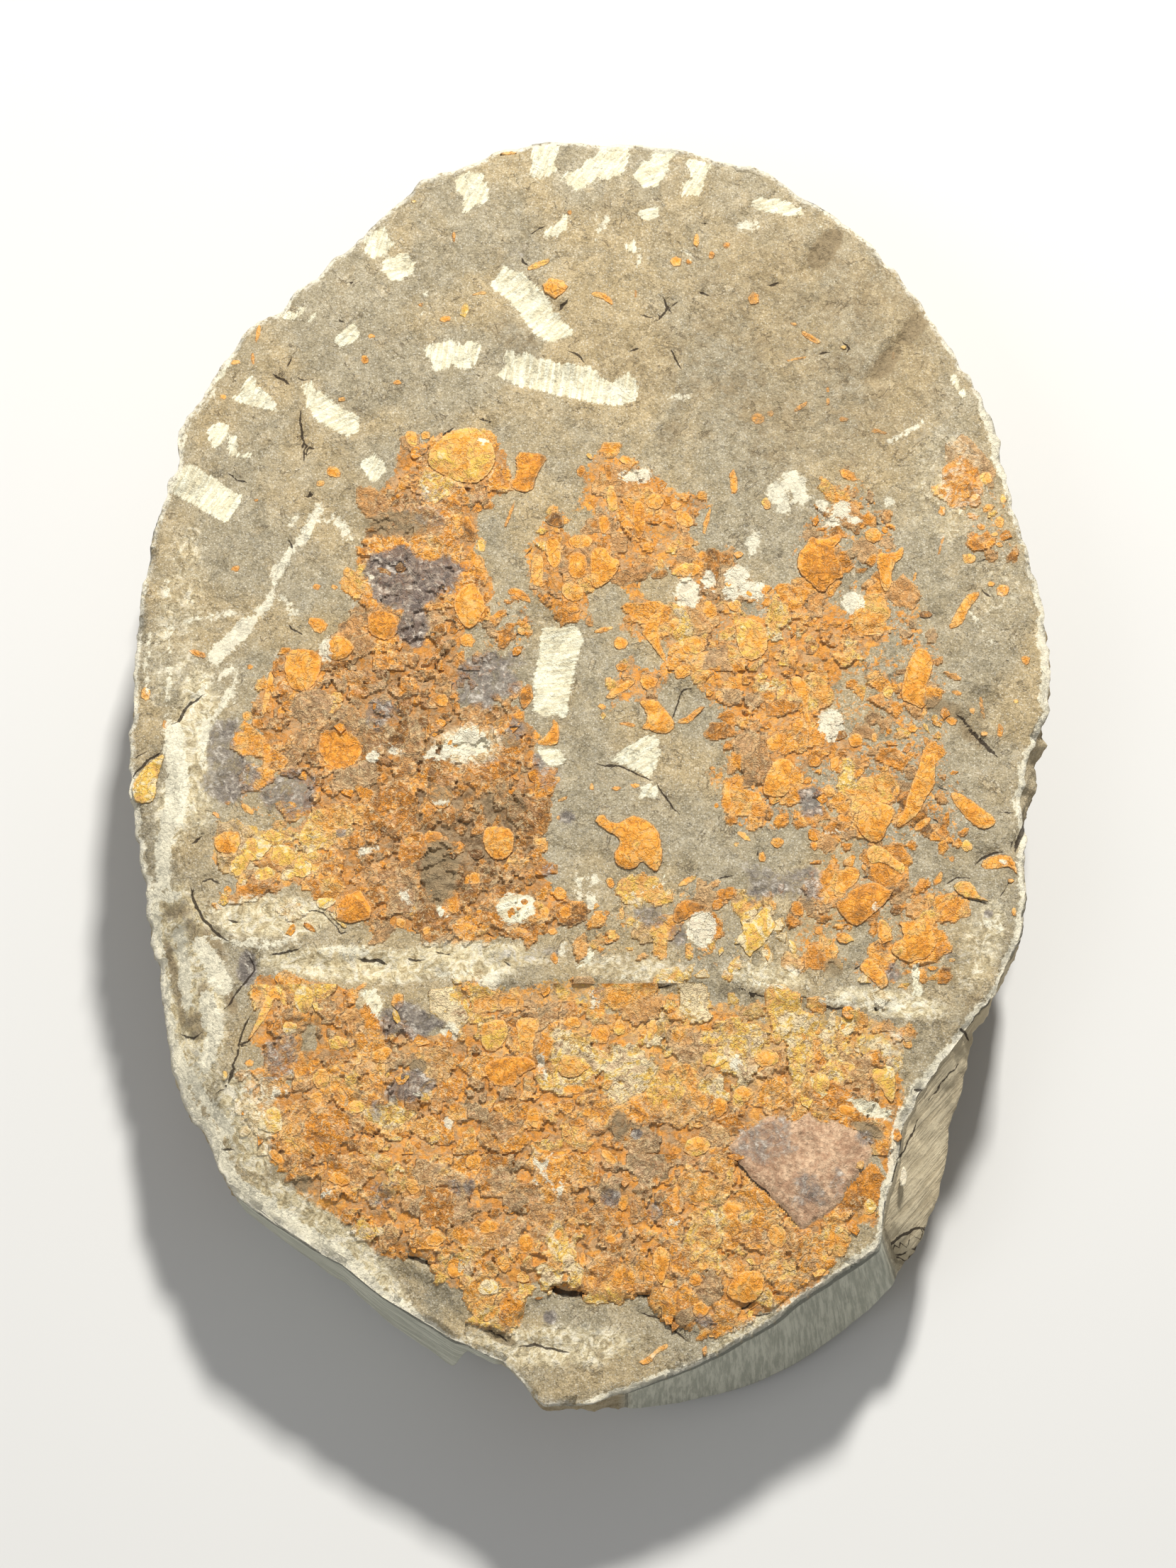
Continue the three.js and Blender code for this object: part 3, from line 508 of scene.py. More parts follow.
# Dark purplish stains: strength and outline of each.
STAINS = lines("""
    1 -58 50 -53 52 -46 53.5 -43 50 -37 51.5 -33 47 -36 45 -36 42 -40 40 -43 37 -40 31 -44 26.5 -49 30 -47
    36 -51 37 -55 38 -57 42 -59 46; .7 -34 22 -28 26 -20 27.5 -16 24 -19 20 -21 13 -25 10 -33 11 -35 16;
    .72 -98 3 -95 8 -91 6 -90 1 -87 -4 -84 -8 -86 -13 -92 -16 -97 -14 -99 -10 -95 -6 -98 -2; .68 -80 -8
    -72 -7 -69 -14 -76 -20 -84 -18 -86 -13; .65 -57 14 -50 13 -48 9 -53 3 -58 5; .85 -53 -68 -42 -69 -37
    -72 -43 -76 -51 -75; .85 -49 -84 -42 -85 -38 -88 -42 -93 -50 -91; .55 -82 -78 -75 -74 -71 -80 -74 -87
    -80 -86; .6 -37 -109 -31 -111 -31 -117 -36 -114; .55 -54 -111 -49 -112 -49 -118 -54 -116; .85 53 -12
    57 -11 58.5 -18 54 -19.5; .65 38 -32 47 -33 57 -30 58 -40 50 -41 40 -41; .65 11 -41 18 -40 21 -46 14
    -49; .45 88 -53 93 -51 98 -55 91 -61; .6 38 -99 48 -96 51 -104 44 -109 37 -105; .6 49 -111 56 -110 59
    -117 52 -120; .5 -14 -5 -8 -5 -7 -12 -14 -12; .45 -46 70 -38 69 -38 60 -46 59; .5 -22 -52 -8 -51 -4
    -56 -20 -57
""", 1)

# Plate of pinkish shell whose left edge stands over the crust beside it.
PINK_PLATE = lines("""
    34 -103 38 -99.5 45 -95.5 53 -96 61 -97 67 -98 70 -104 66 -112 61 -117 55 -121.5 52 -124 46 -117 40
    -112 37 -108
""", 0)[0][0]

# Single shells that are near to ovals: middle, two radii, turn of the first and dome, by shade.
OVAL_SHELLS = {
    Tint.DARK: """
        -43 -83 2 1.8 0 .4
    """,
    Tint.BROWN: """
        -9 60.8 2.6 2.6 0 .4
    """,
    Tint.RUST: """
        32 135 1 1.3 0 .2; 36 138 1.1 1.2 0 .2; -44.5 121 .8 .7 0 .1; 66 88.7 1.5 .9 0 .1; 12 124 .6 1.4 0
        .1; 18 46 2.6 1.6 20 .3; -32.4 48.2 2 1.8 0 .4; -31.4 58.4 1.8 4 12 .4; -86.6 66.4 1 .6 0 .1;
        -52.3 -8.6 1.5 2 10 .3; -16.5 13 1.9 4 -6 .6; 56.5 -26.5 1.2 1.5 0 .3; 48 -37.5 1 1.6 0 .3; 58 -56
        1.5 2.4 0 .4; -3 -97 2.7 1.5 10 .5; 31.7 -83.5 1.1 1.2 0 -.2; 36 -99 2.6 1.4 15 .4; -50 -117 2 1.6
        0 .3
    """,
    Tint.BURNT: """
        26 133 1 .9 0 .2; -36 140 .6 1.9 0 .1; -5.4 147 .8 .8 0 .1; -87.3 113.3 .7 3 -12 .1; -88.4 106 .6
        2.1 5 .1; -50.5 99 1.3 .9 0 .2; -59 105.4 1.1 1.6 0 .1; 53.4 115.4 1.2 .6 -10 .1; 62 97 .6 1 0 .1;
        62 93.5 .7 1.2 0 .1; 43.7 89 2.1 1.7 -20 .4; 47 90.5 1.1 1 0 .1; 79.4 107.2 .6 1.3 0 .1; 75.3 85.2
        2.5 .7 -15 .2; 83.5 45.5 .5 1.6 -10 .1; 91 63.2 1.1 1.7 0 .2; 98.4 62 1.2 1 0 .2; 95.6 76.3 1 .9 0
        .2; 101 59 1.4 1 -20 .2; 90.6 54 .5 3.1 -18 .1; 103.2 43.4 1.1 .9 0 .2; -2.3 74.3 1.4 1.9 -10 .3;
        28.9 51.3 1.6 1.3 0 .3; 8 21 1.6 1.6 0 .3; 3.6 59.7 1.7 2.9 10 .4; 4.8 74 1.3 3.3 10 .3; -20.8
        62.6 .6 4.6 -20 .2; -18 40 3 .9 -35 .3; -70.5 42.7 1.2 .9 0 .2; -87 21 1 .9 0 .1; -100.6 24.6 2.6
        1 -20 .1; -53.3 31.8 4 4 0 .9; -108.6 5.5 .8 1.6 0 .1; -86 -1 .9 2.3 -8 .3; -82.3 -1 1.5 2.2 0 .3;
        -64 -.4 6 5.9 0 -.5; -94.6 -18.4 1.6 .7 -40 .2; -59.6 -42.7 4.9 4.8 0 .9; -38 12 2.1 2.2 0 .6; 9.6
        5.7 2.6 .8 -12 .2; 4 -44 1.1 .9 0 .1; -34.6 -41 1.9 3.4 5 .7; -6.2 -43.6 1.9 2.2 -20 .5; 57 -4 2.1
        1.7 0 .6; 69.6 -4 1.6 .8 20 .2; 85.5 1.2 1 1.3 0 .3; 91.2 -29.8 .8 1 0 .1; 57.4 -48.6 1.2 1.5 0
        .3; 52 -43 1.9 2.3 0 .4; 104.4 4.2 1 2.1 0 .1; 100 11 .7 3.4 8 .1; -33 -133 2.7 2.6 0 -.3; 27.6
        -117.3 3.8 .7 -8 .2; 26 -136 2.1 1.9 0 .4; -2 -131 1 2.6 -8 .3; 28 -153 .7 1.6 0 .1; 18.5 -92 1.2
        1.4 0 .3; -73 -77 1.4 2.6 0 .3; -16 -127 2.4 3 0 .5; 31 -6 .9 .6 0 .1; 6.6 -11.4 1.4 .7 0 .1
    """,
    Tint.ORANGE: """
        -9 125.5 3.5 2.9 0 1; 22.5 133.2 1.7 1.8 0 .3; 28 139 1 2.2 0 .3; -38 116.8 1.7 1.1 5 .3; -92.8
        105.2 1.5 .9 0 .2; -57.4 112 1.1 .9 0 .2; -95.8 95.5 1.1 .9 0 .1; 43 122.5 1.6 2.2 0 .6; 57.9
        111.5 3.1 1 -32 .3; 54 105.6 3 .5 12 .1; 55 92.2 2.5 .8 34 .2; 67 73.2 2.6 1.7 -30 .4; 73.3 56.6
        2.3 2.6 0 .8; 82 41.6 .5 1.2 10 .1; 99.5 67 1.7 1.1 40 .3; 103.2 64.3 2 1.3 30 .3; 106 60.5 1.5 2
        0 .3; 106 41.7 2.2 1.7 40 .3; 74.8 31.1 4.4 .9 8 .3; 111.5 23 1.2 1.5 0 .2; 16.6 66 2.8 2.5 0 .7;
        22.2 64.8 1.7 1.5 0 .4; 37.3 71.3 1.3 3.9 4 .6; 36 43.4 1.6 2 0 .2; 37 37.5 2 1.8 0 .6; 30.7 36.6
        2.1 2.8 20 .5; 21.7 32.7 1.4 2.6 -20 .3; 7.7 27.3 2.1 1.9 30 .4; 15.4 17 2.2 1.9 10 .5; 23.5 19.4
        2.4 2 30 .5; 3.3 31 2.9 .8 12 .2; 9.4 77.2 2.4 1.5 -20 .3; 30.2 61 .7 4.6 -14 .2; -31.5 28 2.2 2 0
        .5; -65 94.5 1.3 .9 0 .2; -91.5 47.5 1.3 1.1 0 .3; -70 71 1.3 1 20 .2; -66.6 74 2.6 1.6 -35 .4;
        -62.6 46.5 1.3 1.5 0 .3; -66 42.5 1 .9 0 .2; -64.2 26 3.8 3.7 0 1.6; -113.6 14 1.5 2.3 0 .2; -86.6
        -17 2.3 1.1 -40 .4; -92 -15 1 .8 0 .2; -57.2 -62.6 2.1 .7 32 .2; -48 -66.5 1.8 2.6 0 .5; -49.5
        -15.8 1.1 1.3 0 .3; -46 -25 1.6 1.4 20 .3; -47.5 -46.5 1.6 1.5 0 .3; -41 -48.5 1.2 1.6 0 .3; -9.5
        14 1.2 .9 0 .2; 7.8 15 4.6 1.3 33 .3; 14.6 17 2 2.3 20 .5; 3 10.5 1.1 1.2 0 .3; 24.5 -35.5 2.8 1.1
        28 .3; 5 -36 1.3 1.8 10 .3; 12 -39 1.2 1.2 0 .3; 8 -44 .9 2.1 0 .3; -29 -34.7 1.7 2 20 .5; -11.6
        -43.5 1.6 1.6 0 .3; -9.4 -48.5 1.4 1.1 0 .3; -17.5 -48.3 2.4 .9 -10 .2; -9 -55.5 1.1 1.8 10 .2;
        47.3 -25.6 1.9 1.5 0 .5; 43.5 -29.5 1.2 1.7 0 .4; 53.4 -19.5 1 3.2 35 .5; 62 -4.6 1.3 2.4 -20 .4;
        67.6 1.6 2.1 2.1 0 .5; 66.2 -12.1 2.2 1.2 -15 .3; 77.6 -12.2 1 2.1 -20 .3; 81.5 5.4 1.8 .5 0 .1;
        87.6 -35 1 2.6 -30 .4; 88.2 -42.2 2.4 1 42 .4; 59 -40 1.4 2 0 .4; 73.6 -48.5 2.2 3.6 10 .7; 106
        -35.3 .9 .7 0 .2; 92 6.6 1.6 1.3 -20 .3; 100.4 3.6 1.1 .7 0 .1; 93.6 14 1.7 .7 -15 .2; -87.6 -93
        1.2 2.6 4 .4; -85.8 -99 1.7 1.5 0 .3; -85 -82 1.6 1.1 -10 .4; -62 -111 3 2.2 -20 .5; -14 -96 1.9
        3.1 0 .5; -29 -107 2.6 2.1 10 .5; -4 -88.6 3.4 1.4 0 .4; 3 -74.6 2.2 2.7 0 .6; -4.6 -71.8 2.7 1.9
        0 .4; 8 -117 1.8 2.7 -18 .5; 21 -115 1 3.2 0 .4; -8 -125 1.3 1.7 0 .4; 5 -126 1.7 1.6 0 .4; 6.6
        -135.4 1.8 3.1 -12 .4; 27 -143.3 2.7 2.4 -20 .4; 0 -136 1.4 1.5 30 .2; 63.6 -94 2.5 1.8 -20 .4;
        73.5 -99.4 1.1 1.5 0 .3; 35 -118 3 2 10 .4; 77.5 -110 .8 2.6 -8 .1; 56.5 -134.5 2.6 .9 22 .2; 32
        -93 2.2 2.8 0 .4; -52 -80 3 2 30 .4; -44 -113 1.8 2.4 20 .4; -25 -123 3 2 10 .4; -21.5 -132 1.8
        2.4 30 .3; .4 -11 .7 1.2 0 .1; 11.3 -10.5 1.5 .8 0 .2; -8.3 -9 1 1.2 0 .2; -7 -14.2 1.8 .7 20 .2;
        -8 -19 .7 1 0 .2; 41.2 -11 .8 1 0 .1; -91.3 -25.3 4 3.6 0 .4
    """,
    Tint.PALE: """
        -13.8 132.2 4.3 1 24 .3; -33 119.3 1.3 2.6 -10 .2; -29 124 2.2 .6 10 .1; -22 164.8 2.4 .6 0 .1;
        45.6 65.4 1.3 1.9 20 .3; 102.6 72.7 2 2.1 30 .4; 107 67 1 1.5 0 .2; 104.4 57 1.3 .9 20 .2; 97.7
        50.2 2.1 1.7 0 .3; 25 47 4.2 2.3 5 .5; 26.5 26.6 3.3 2.8 10 .4; 5.5 66.5 1.7 4 6 .5; -46.5 83.2 2
        2.9 20 .6; -43 84.3 1.4 1.4 0 .3; -87.5 8 1.7 1.6 0 .3; 39 -24 2.2 1 -35 .2; 72.2 2 1 1.5 0 .3; 76
        14.6 1.4 2.6 -10 .4; 85.6 4.6 .6 1.9 28 .2; 106.6 -43.2 .8 1.4 0 .2; 108.6 12 .7 .9 0 .1; 97.5 9.6
        1 1 0 .1; 90.5 -56 1.1 .7 0 .1; -67 -86 2.5 3 0 .6; -68 -90.6 2 1.8 0 .3; -58 -93 2.6 2.2 0 .4;
        -38 -126 2.8 2.2 0 .6; -4.5 -83 4.4 3.3 0 .8; 7.2 -73 1.6 2.3 0 .4; 15.2 -73.6 1.7 2.9 -10 .5;
        26.6 -103 3.8 2.7 10 .7; 46 -125 2.4 3.4 30 .4; 19 -137 1.7 1.5 0 .3; 44 -81 3.2 2.4 0 .4; 38 -90
        3 2.4 30 .4; -63 -77 3 2 0 .4; 37 -26 1 .8 0 .1; 3.3 8 .8 1.2 0 .1
    """,
    Tint.YELLOW: """
        66.3 108.9 1 .7 0 .2; -46.8 151 .8 .7 0 .1; -28.3 54 1.3 2 10 .3; 95 -26.5 1.5 2 20 .3; -75 -73.2
        2.2 2 0 .5; -91 -85 .8 1.5 0 .2; -8 -135 1.5 .8 10 .2; 57.2 -87 2.7 2.9 0 .8; 64.5 -83 2 1.3 -20
        .4; 62 -82 1.2 1.2 0 .3; 69 -118 2 2.3 0 .3; -84.5 -27.5 4.6 3.4 20 .3; -77.5 -28.8 3.6 3.2 -10
        .3; -88.5 -31.5 3.2 2.6 40 .3; -72.5 -31.5 2.6 3.6 0 .2; -82 -33.6 3.4 2 10 .2; -80 -24 2.8 1.8
        -20 .2; -76 -34 2.4 1.6 30 .2
    """,
    Tint.CREAM: """
        -25 -137.8 3.1 2.4 0 .4
    """,
}

# Larger shells of other outlines: shade, dome, then the outline.
OUTLINED_SHELLS = {
    Tint.BROWN: """
        .3 8 -93.4 9.8 -97 8.5 -102.6 4.8 -99.8 5.7 -96.5; .4 64 -97 67 -96.5 71 -98.8 73 -101 69 -100.5
        65 -99
    """,
    Tint.RUST: """
        .7 20.5 -46 21 -42 24 -40 27 -41 30 -42 28.5 -44 25 -45 22 -47
    """,
    Tint.BURNT: """
        .5 -19.7 79.6 -14.7 79.6 -10.8 78.4 -12.5 75.2 -14.1 72.3 -14.7 68.8 -18 68.2 -21.3 69.9 -19.1
        73.4; .3 -21.5 42 -18.5 42.6 -15.4 40 -15.2 38 -17 38.6 -19 40.4 -21 40; .5 -5.8 51.8 -2 52 -.6 50
        -.8 45.2 -3 44.2 -5.8 45; .3 -6.6 37.3 -3 37.6 -2.5 35.4 -6 35; .7 11 66 13.4 66.5 14.7 63 14.3 58
        12.8 55.2 11.2 56.6 10.8 61; 1 56.7 56.7 59.9 55.2 64.7 57.6 65 55.2 62.5 52.8 66 45.5 62.4 43.7
        59.8 40.4 56.7 43.1 53.3 46.7 53.3 51.5 55.6 53.9; .4 -57.5 35.6 -53 36.4 -49 34 -49.4 29 -53 27.5
        -57 30; .5 -41 -11 -37 -10.4 -34.6 -13 -35.6 -16.6 -39 -17 -41.4 -14; .4 -42 -22 -38.5 -22.4 -36.8
        -24 -39 -26.4 -42 -26; .9 64.6 -38.4 70 -35.8 73 -36 75 -38 77 -37 75.5 -40 73 -43 69 -46 67.5
        -47.5 65 -47 62 -43.5 61.5 -40.7 64.4 -40.4; .6 -24 -81 -20 -80.2 -15 -80.5 -13 -83 -15 -84 -18
        -86 -19 -88 -23 -88.5 -26 -86 -27 -83; .3 -15 -101 -12 -103.4 -9 -104.2 -5 -103 -4 -104.4 -8 -106
        -12 -105.4 -15 -103
    """,
    Tint.ORANGE: """
        .7 -32.4 43.3 -29.1 43.6 -26.6 37.8 -27.4 34.9 -29.9 30.8 -33 31.6 -35.5 37.2 -34.6 40.1; .5 -15.2
        51.2 -12.5 51.8 -11.6 48.3 -12.5 43.6 -10.2 42.8 -14.7 42.2 -15.5 46; .5 -11.9 55.6 -9 56.8 -7.3
        54 -7.5 49 -9.4 46.8 -11.4 50; .5 -5.8 56 -2 57.2 .8 56.2 .4 53.2 -3 52.6 -5.6 53.4; .7 0 53 4.2
        53.6 5.3 50.6 8 50 6.9 46 4.2 43 .3 41.3 -.2 47; .4 -7.5 43.4 -4 43.6 -1.4 42 -2 38.6 -5 38.4 -7.4
        40; .3 21.6 63.6 24.4 63.8 27.4 60.4 25.6 58.4 22.2 59.6; .5 18.6 35.4 16.3 36 12.7 30.3 14.7 28
        19.4 21.3 19.9 22 17.4 29.5; .4 74 52 78 51.4 80.9 54.2 80.9 50.7 78 48.3 77.5 41.6 75 41 74 47
        73.5 50; .4 96.5 40.5 100.1 41.6 100 39.8 97.1 36.2 95.4 32 91.3 30.8 93.7 35.6; .9 84 26.5 87 25
        88 21 86.3 17 85.5 14 86.5 11.5 84.5 9.2 82.5 10.5 79 12 79.5 16 80.5 20 82 24; .7 -78 25.7 -72 26
        -68.5 24 -69 19 -71 15 -76 14 -78.6 19; .3 -73.5 34.2 -69 34.5 -66.8 31.6 -70 29.2; .4 -82 21
        -80.6 18 -81.8 12 -82.8 8 -84.2 8 -83.4 14; .4 -80.5 -104 -78 -103 -75.5 -106 -76 -108 -79 -106.5;
        .7 12 12 16.5 12.8 19 10 20.5 8 22 5.5 20 3 17.5 3 15 4 12.5 4.5 14.5 6.5 14 9; .3 21.5 6.5 25 8
        27.5 10.5 30 10.7 28 9 25.5 6 23 5.5; .3 -13.8 1.4 -11.6 2.4 -9.6 5.6 -9.6 7.6 -7.8 6 -8 1 -9.2 0
        -13 0; .8 .5 -19.5 3.5 -17.8 4.5 -20 7 -20.5 9.5 -19 11 -18.2 14 -19.5 17 -22 18 -26 18.3 -30 17.8
        -32 16.5 -33.5 14.5 -32 13 -30.5 12 -32 9.5 -33 6.5 -31.5 5.5 -29 7.5 -26 6.5 -24 3.5 -22.5; .5 33
        -9 37.5 -8.5 37.4 -9.8 35.8 -10 35.6 -13.4 36.4 -15.5 35 -17.5 33 -16.5 33 -14 34 -12 33.8 -10.4;
        .6 -27 -21.5 -23 -21 -19.5 -22 -19 -27 -21 -30 -25 -30 -27.4 -26; .6 50.6 18.3 53 18.9 55.4 17 57
        14.8 55.6 12.8 55.8 8 57 5 55.4 4.4 54 8 54 12.4 52.4 13.4; .9 84.5 -.5 85.5 -2 88 -3 87.5 -7 87.5
        -11 85 -14 83.5 -18 81 -20 79 -21.5 77.5 -22 77 -20.5 79.5 -17 80 -14 81.5 -10 83 -6 84 -3; 1.1 68
        -16.5 70.5 -14.7 73.5 -15 77.2 -16.5 77 -19 75 -22 74 -25 72 -26 69.5 -25 67 -22 67.5 -19; .7 91
        -13 92.5 -12 96 -14 99 -16.5 102.5 -19 102.5 -21 100 -22.5 97 -21.5 94.5 -19 92 -15.5; .4 81.5
        -22.5 82.5 -20 86 -18.6 86.4 -20 83.5 -22.5; .8 48 -3 51 -4 52 -6 50.5 -9 51 -12 48.5 -14 44 -13.5
        43.5 -11 44.5 -8 46 -5; .4 45 2 48 4 50 3 49 -1 46 -2 44.4 0; .6 98.4 -31 100 -29.4 103 -28.4 106
        -28.6 107.5 -31 107.8 -34 106 -32 104.4 -31.8 102 -32.6 99 -32.5; .6 62.5 -33 65.5 -31.5 68.5 -33
        67 -36.5 64.5 -38 64 -40 61 -40 61.5 -36; 1 77 -46 78.5 -46.5 80.5 -45.7 82.5 -46 84 -45 85.5 -46
        86 -49 87 -51.5 86 -54 84 -56 82 -56 80.5 -57 77.5 -56 75 -54 76 -51.5 78.5 -50.5 78 -48; .6 67
        -58 69.5 -55 71.5 -57 74.5 -60.5 74.8 -62.5 72.5 -64 70.5 -61.5 68 -59.5; .4 2 -104 4 -103.5 7
        -106 6.5 -108 4 -107.5; .6 15.5 -128 18 -127.5 20 -130 19 -134 17.6 -138 15 -134; .9 34 -137 36
        -134.5 39 -133.5 42.5 -134 43 -137 42 -140 39 -142 35 -141 33 -139.5; .3 -27 -146 -24 -142.4 -21
        -141.7 -23 -144.5 -25 -146.5; .3 11.6 -155.6 14 -154.4 16 -152.6 19 -150.8 19.2 -152.4 16.6 -153.6
        15 -156 12.4 -156.8; .4 58.4 -121.6 60.6 -121 61 -125 59.6 -129.6 58 -130 58.4 -126; .5 0 124.4
        2.4 124.8 4.6 123.8 6.2 121.6 5.8 120.4 3.6 122.2 .4 123.2
    """,
    Tint.PALE: """
        1.3 -41.5 80.8 -37.4 84.9 -32.4 86.4 -29.1 86.4 -26.3 83.4 -24.4 79.6 -24.9 75.2 -27.4 72 -30.2
        70.5 -34.6 71.1 -40.2 74 -42.7 76.4; .5 37 34.5 43 34 46 30 45 24 40 22 37.4 26; .5 -80.5 -62 -78
        -62 -76 -64 -75.5 -68 -77.5 -67 -79 -65 -80 -69 -84 -75 -86 -77 -83.4 -71 -81.6 -66; .4 91 -37.4
        92.6 -35.6 95 -35.4 97 -37 97.4 -39 101 -41 97 -40.4 93.4 -39.6; .5 69.5 -27 72.5 -25.8 75.5 -28
        77 -30 79.5 -31 79 -34.6 76.5 -32.6 73.5 -30.6 71 -31.4 69.8 -30; .7 -27 -72 -24 -71 -21 -71 -20
        -75 -23 -79 -25.5 -79.5 -27.5 -77 -27.5 -74; .6 -19 -71 -16 -70.3 -13 -70.5 -12.5 -73 -14 -76 -14
        -80 -18.5 -80 -18 -76
    """,
    Tint.YELLOW: """
        .9 -108 -2 -110 -2.5 -113 -4.5 -115.4 -7.6 -116.6 -9.6 -116.4 -12.6 -115 -14.8 -111.4 -14.8 -110.2
        -13 -110.2 -9 -109 -5; .3 -66.4 -43.4 -64 -44.4 -60.6 -47.6 -62 -48; .8 -74.5 -65 -73.5 -62.5 -71
        -62.3 -69 -64 -69 -67 -71 -70 -73.5 -69; .5 -83 -98 -81 -94 -78 -92.5 -76.5 -95 -76 -99 -78 -100
        -81 -99.5; .7 37 -45 40 -47 41.5 -44.5 44 -42 46 -42.5 45 -44.5 47 -47 45 -50 43.5 -52.5 41 -54 40
        -56 38.5 -54 37.5 -52 35.5 -52.5 37 -50 38.5 -48.5; .4 49.5 -50.5 51 -51 52 -52.8 51.4 -55 49.8
        -54; .6 27.5 -80 29 -79 32 -79.3 34.5 -80.5 34 -82 31 -83.6 29 -82.5 28 -83.5; .7 70 -83 72.5
        -83.5 74 -82.4 76 -83 76 -88 75.5 -92.5 73.5 -91 72 -88 70 -87
    """,
    Tint.CREAM: """
        .4 -69 -40 -65 -39.5 -63.5 -41 -66 -43 -69 -42.5
    """,
}


@dataclass
class SlabForm:
    """Form of the stone in millimetres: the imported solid's own form, with finer relief.

    Every size is in millimetres, apart from slopes, shares and bearings in degrees.
    """

    face_height: float = 45.0
    half_width: float = 118.0
    half_length: float = 168.0
    ledge_drop: float = 1.1
    lower_bed_fall: float = 0.022
    crust_thickness: float = 1.3
    step_back: float = 0.9
    step_front: float = 3.2
    swell_size: float = 45.0
    swell_height: float = 0.45
    lump_size: float = 11.0
    chip_size: float = 4.2
    chip_height: float = 0.2
    flake_size: float = 2.3
    flake_height: float = 0.12
    grit_height: float = 0.1
    edge_rounding: float = 0.13
    arris: float = 2.4
    foot_height: float = 5.0
    belly_depth: float = 1.8
    beds_around: float = 9.0
    bed_thickness: float = 5.0
    bed_least: float = 0.4
    bed_depth: float = 1.4
    scallop_depth: float = 1.7
    scallop_height: float = 7.0
    sawn_left: tuple[float, float] = (232.0, 262.0)
    sawn_right: tuple[float, float] = (273.0, 300.0)
    bevel_run: tuple[float, float] = (300.5, 346.0)
    stone_top: float = 46.1
    shell_top: float = 46.6
    crack_wander: float = 0.55
    crack_depth: float = 1.7
    plate_height: float = 0.9
    plate_fray: float = 2.6
    coarse: Noise = field(default_factory=lambda: Noise(11))
    fine: Noise = field(default_factory=lambda: Noise(23))

    def edge(self, degrees: Array, column: int) -> Array:
        """One dimension of the edge at a bearing, from the EDGE table's column."""
        return np.interp(degrees, EDGE[:, 0], EDGE[:, column], period=360)

    def chips(self, x: Array, y: Array, size: float, seed: int) -> tuple[Array, Array]:
        """Relief of flat, tilted chips that lie against each other.

        Args:
            x, y: the points.
            size: usual size of a chip.
            seed: fixes where the chips lie.

        Returns:
            Relief from about -1 to 1, and one tone from 0 to 1 for each chip.
        """
        table = np.random.default_rng(seed).random((5, 256, 256))
        column, row = np.floor(x / size).astype(int), np.floor(y / size).astype(int)
        least = np.full(x.shape, 1e9)
        relief, tone = np.zeros(x.shape), np.zeros(x.shape)
        for step_x in (-1, 0, 1):
            for step_y in (-1, 0, 1):
                key = (column + step_x) & 255, (row + step_y) & 255
                away_x = x - (column + step_x + table[0][key]) * size
                away_y = y - (row + step_y + table[1][key]) * size
                near = np.hypot(away_x, away_y * (0.7 + 0.6 * table[2][key]))
                tilted = (table[3][key] - 0.5) * away_x + (table[4][key] - 0.5) * away_y
                found = near < least
                least = np.where(found, near, least)
                relief = np.where(found, 1.4 * (table[2][key] - 0.5) + 1.3 * tilted / size, relief)
                tone = np.where(found, table[2][key], tone)
        return relief, tone

    def cover(self, x: Array, y: Array) -> tuple[Array, Array]:
        """How thickly crushed shell covers the bed.

        Args:
            x, y: the points.

        Returns:
            Cover from 0 to 1, and the shift of the crust's colour.
        """
        wander = 2.6 * self.coarse.layered(x, y, 9.0, 3)
        cover, shift = np.zeros(x.shape), np.zeros(x.shape)
        for strength, hue, outline in CRUSHED:
            share = strength * smooth(-2.5, 2.0, inside_gap(x, y, outline) + wander)
            shift = np.where(share > cover, hue, shift)
            cover = np.maximum(cover, share)
        for oval in BARE:
            cover *= smooth(0.75, 1.25, oval_share(x, y, oval) + 0.12 * wander)
        for *oval, amount in SHIFTS:
            shift += amount * (1 - smooth(0.6, 1.15, oval_share(x, y, oval)))
        return cover, shift

    def wrinkles(self, x: Array, y: Array) -> Array:
        """Crinkled relief of the crust: low swells that meet in sharp creases.

        Args:
            x, y: the points.

        Returns:
            Height of each point above the crust's lowest.
        """
        wide = np.abs(self.coarse.layered(x, y + 0.4 * x, 6.0, 3))
        close = np.abs(self.fine.layered(x + 0.3 * y, y, 2.4, 2))
        return 0.95 * wide + 0.4 * close

    def rim_chalk(self, x: Array, y: Array) -> Array:
        """Width in millimetres of the pale crumbled strip along the rim."""
        return np.interp(np.degrees(np.arctan2(y, x)), RIM_CHALK[:, 0], RIM_CHALK[:, 1], period=360)

    def plate(self, x: Array, y: Array) -> Array:
        """Depth inside the pinkish plate, in millimetres: crisp at the lower left, frayed elsewhere."""
        fray = self.plate_fray * self.coarse.layered(x, y, 5.0, 3) * smooth(-44, -30, x + 0.8 * y)
        return inside_gap(x, y, PINK_PLATE) + fray

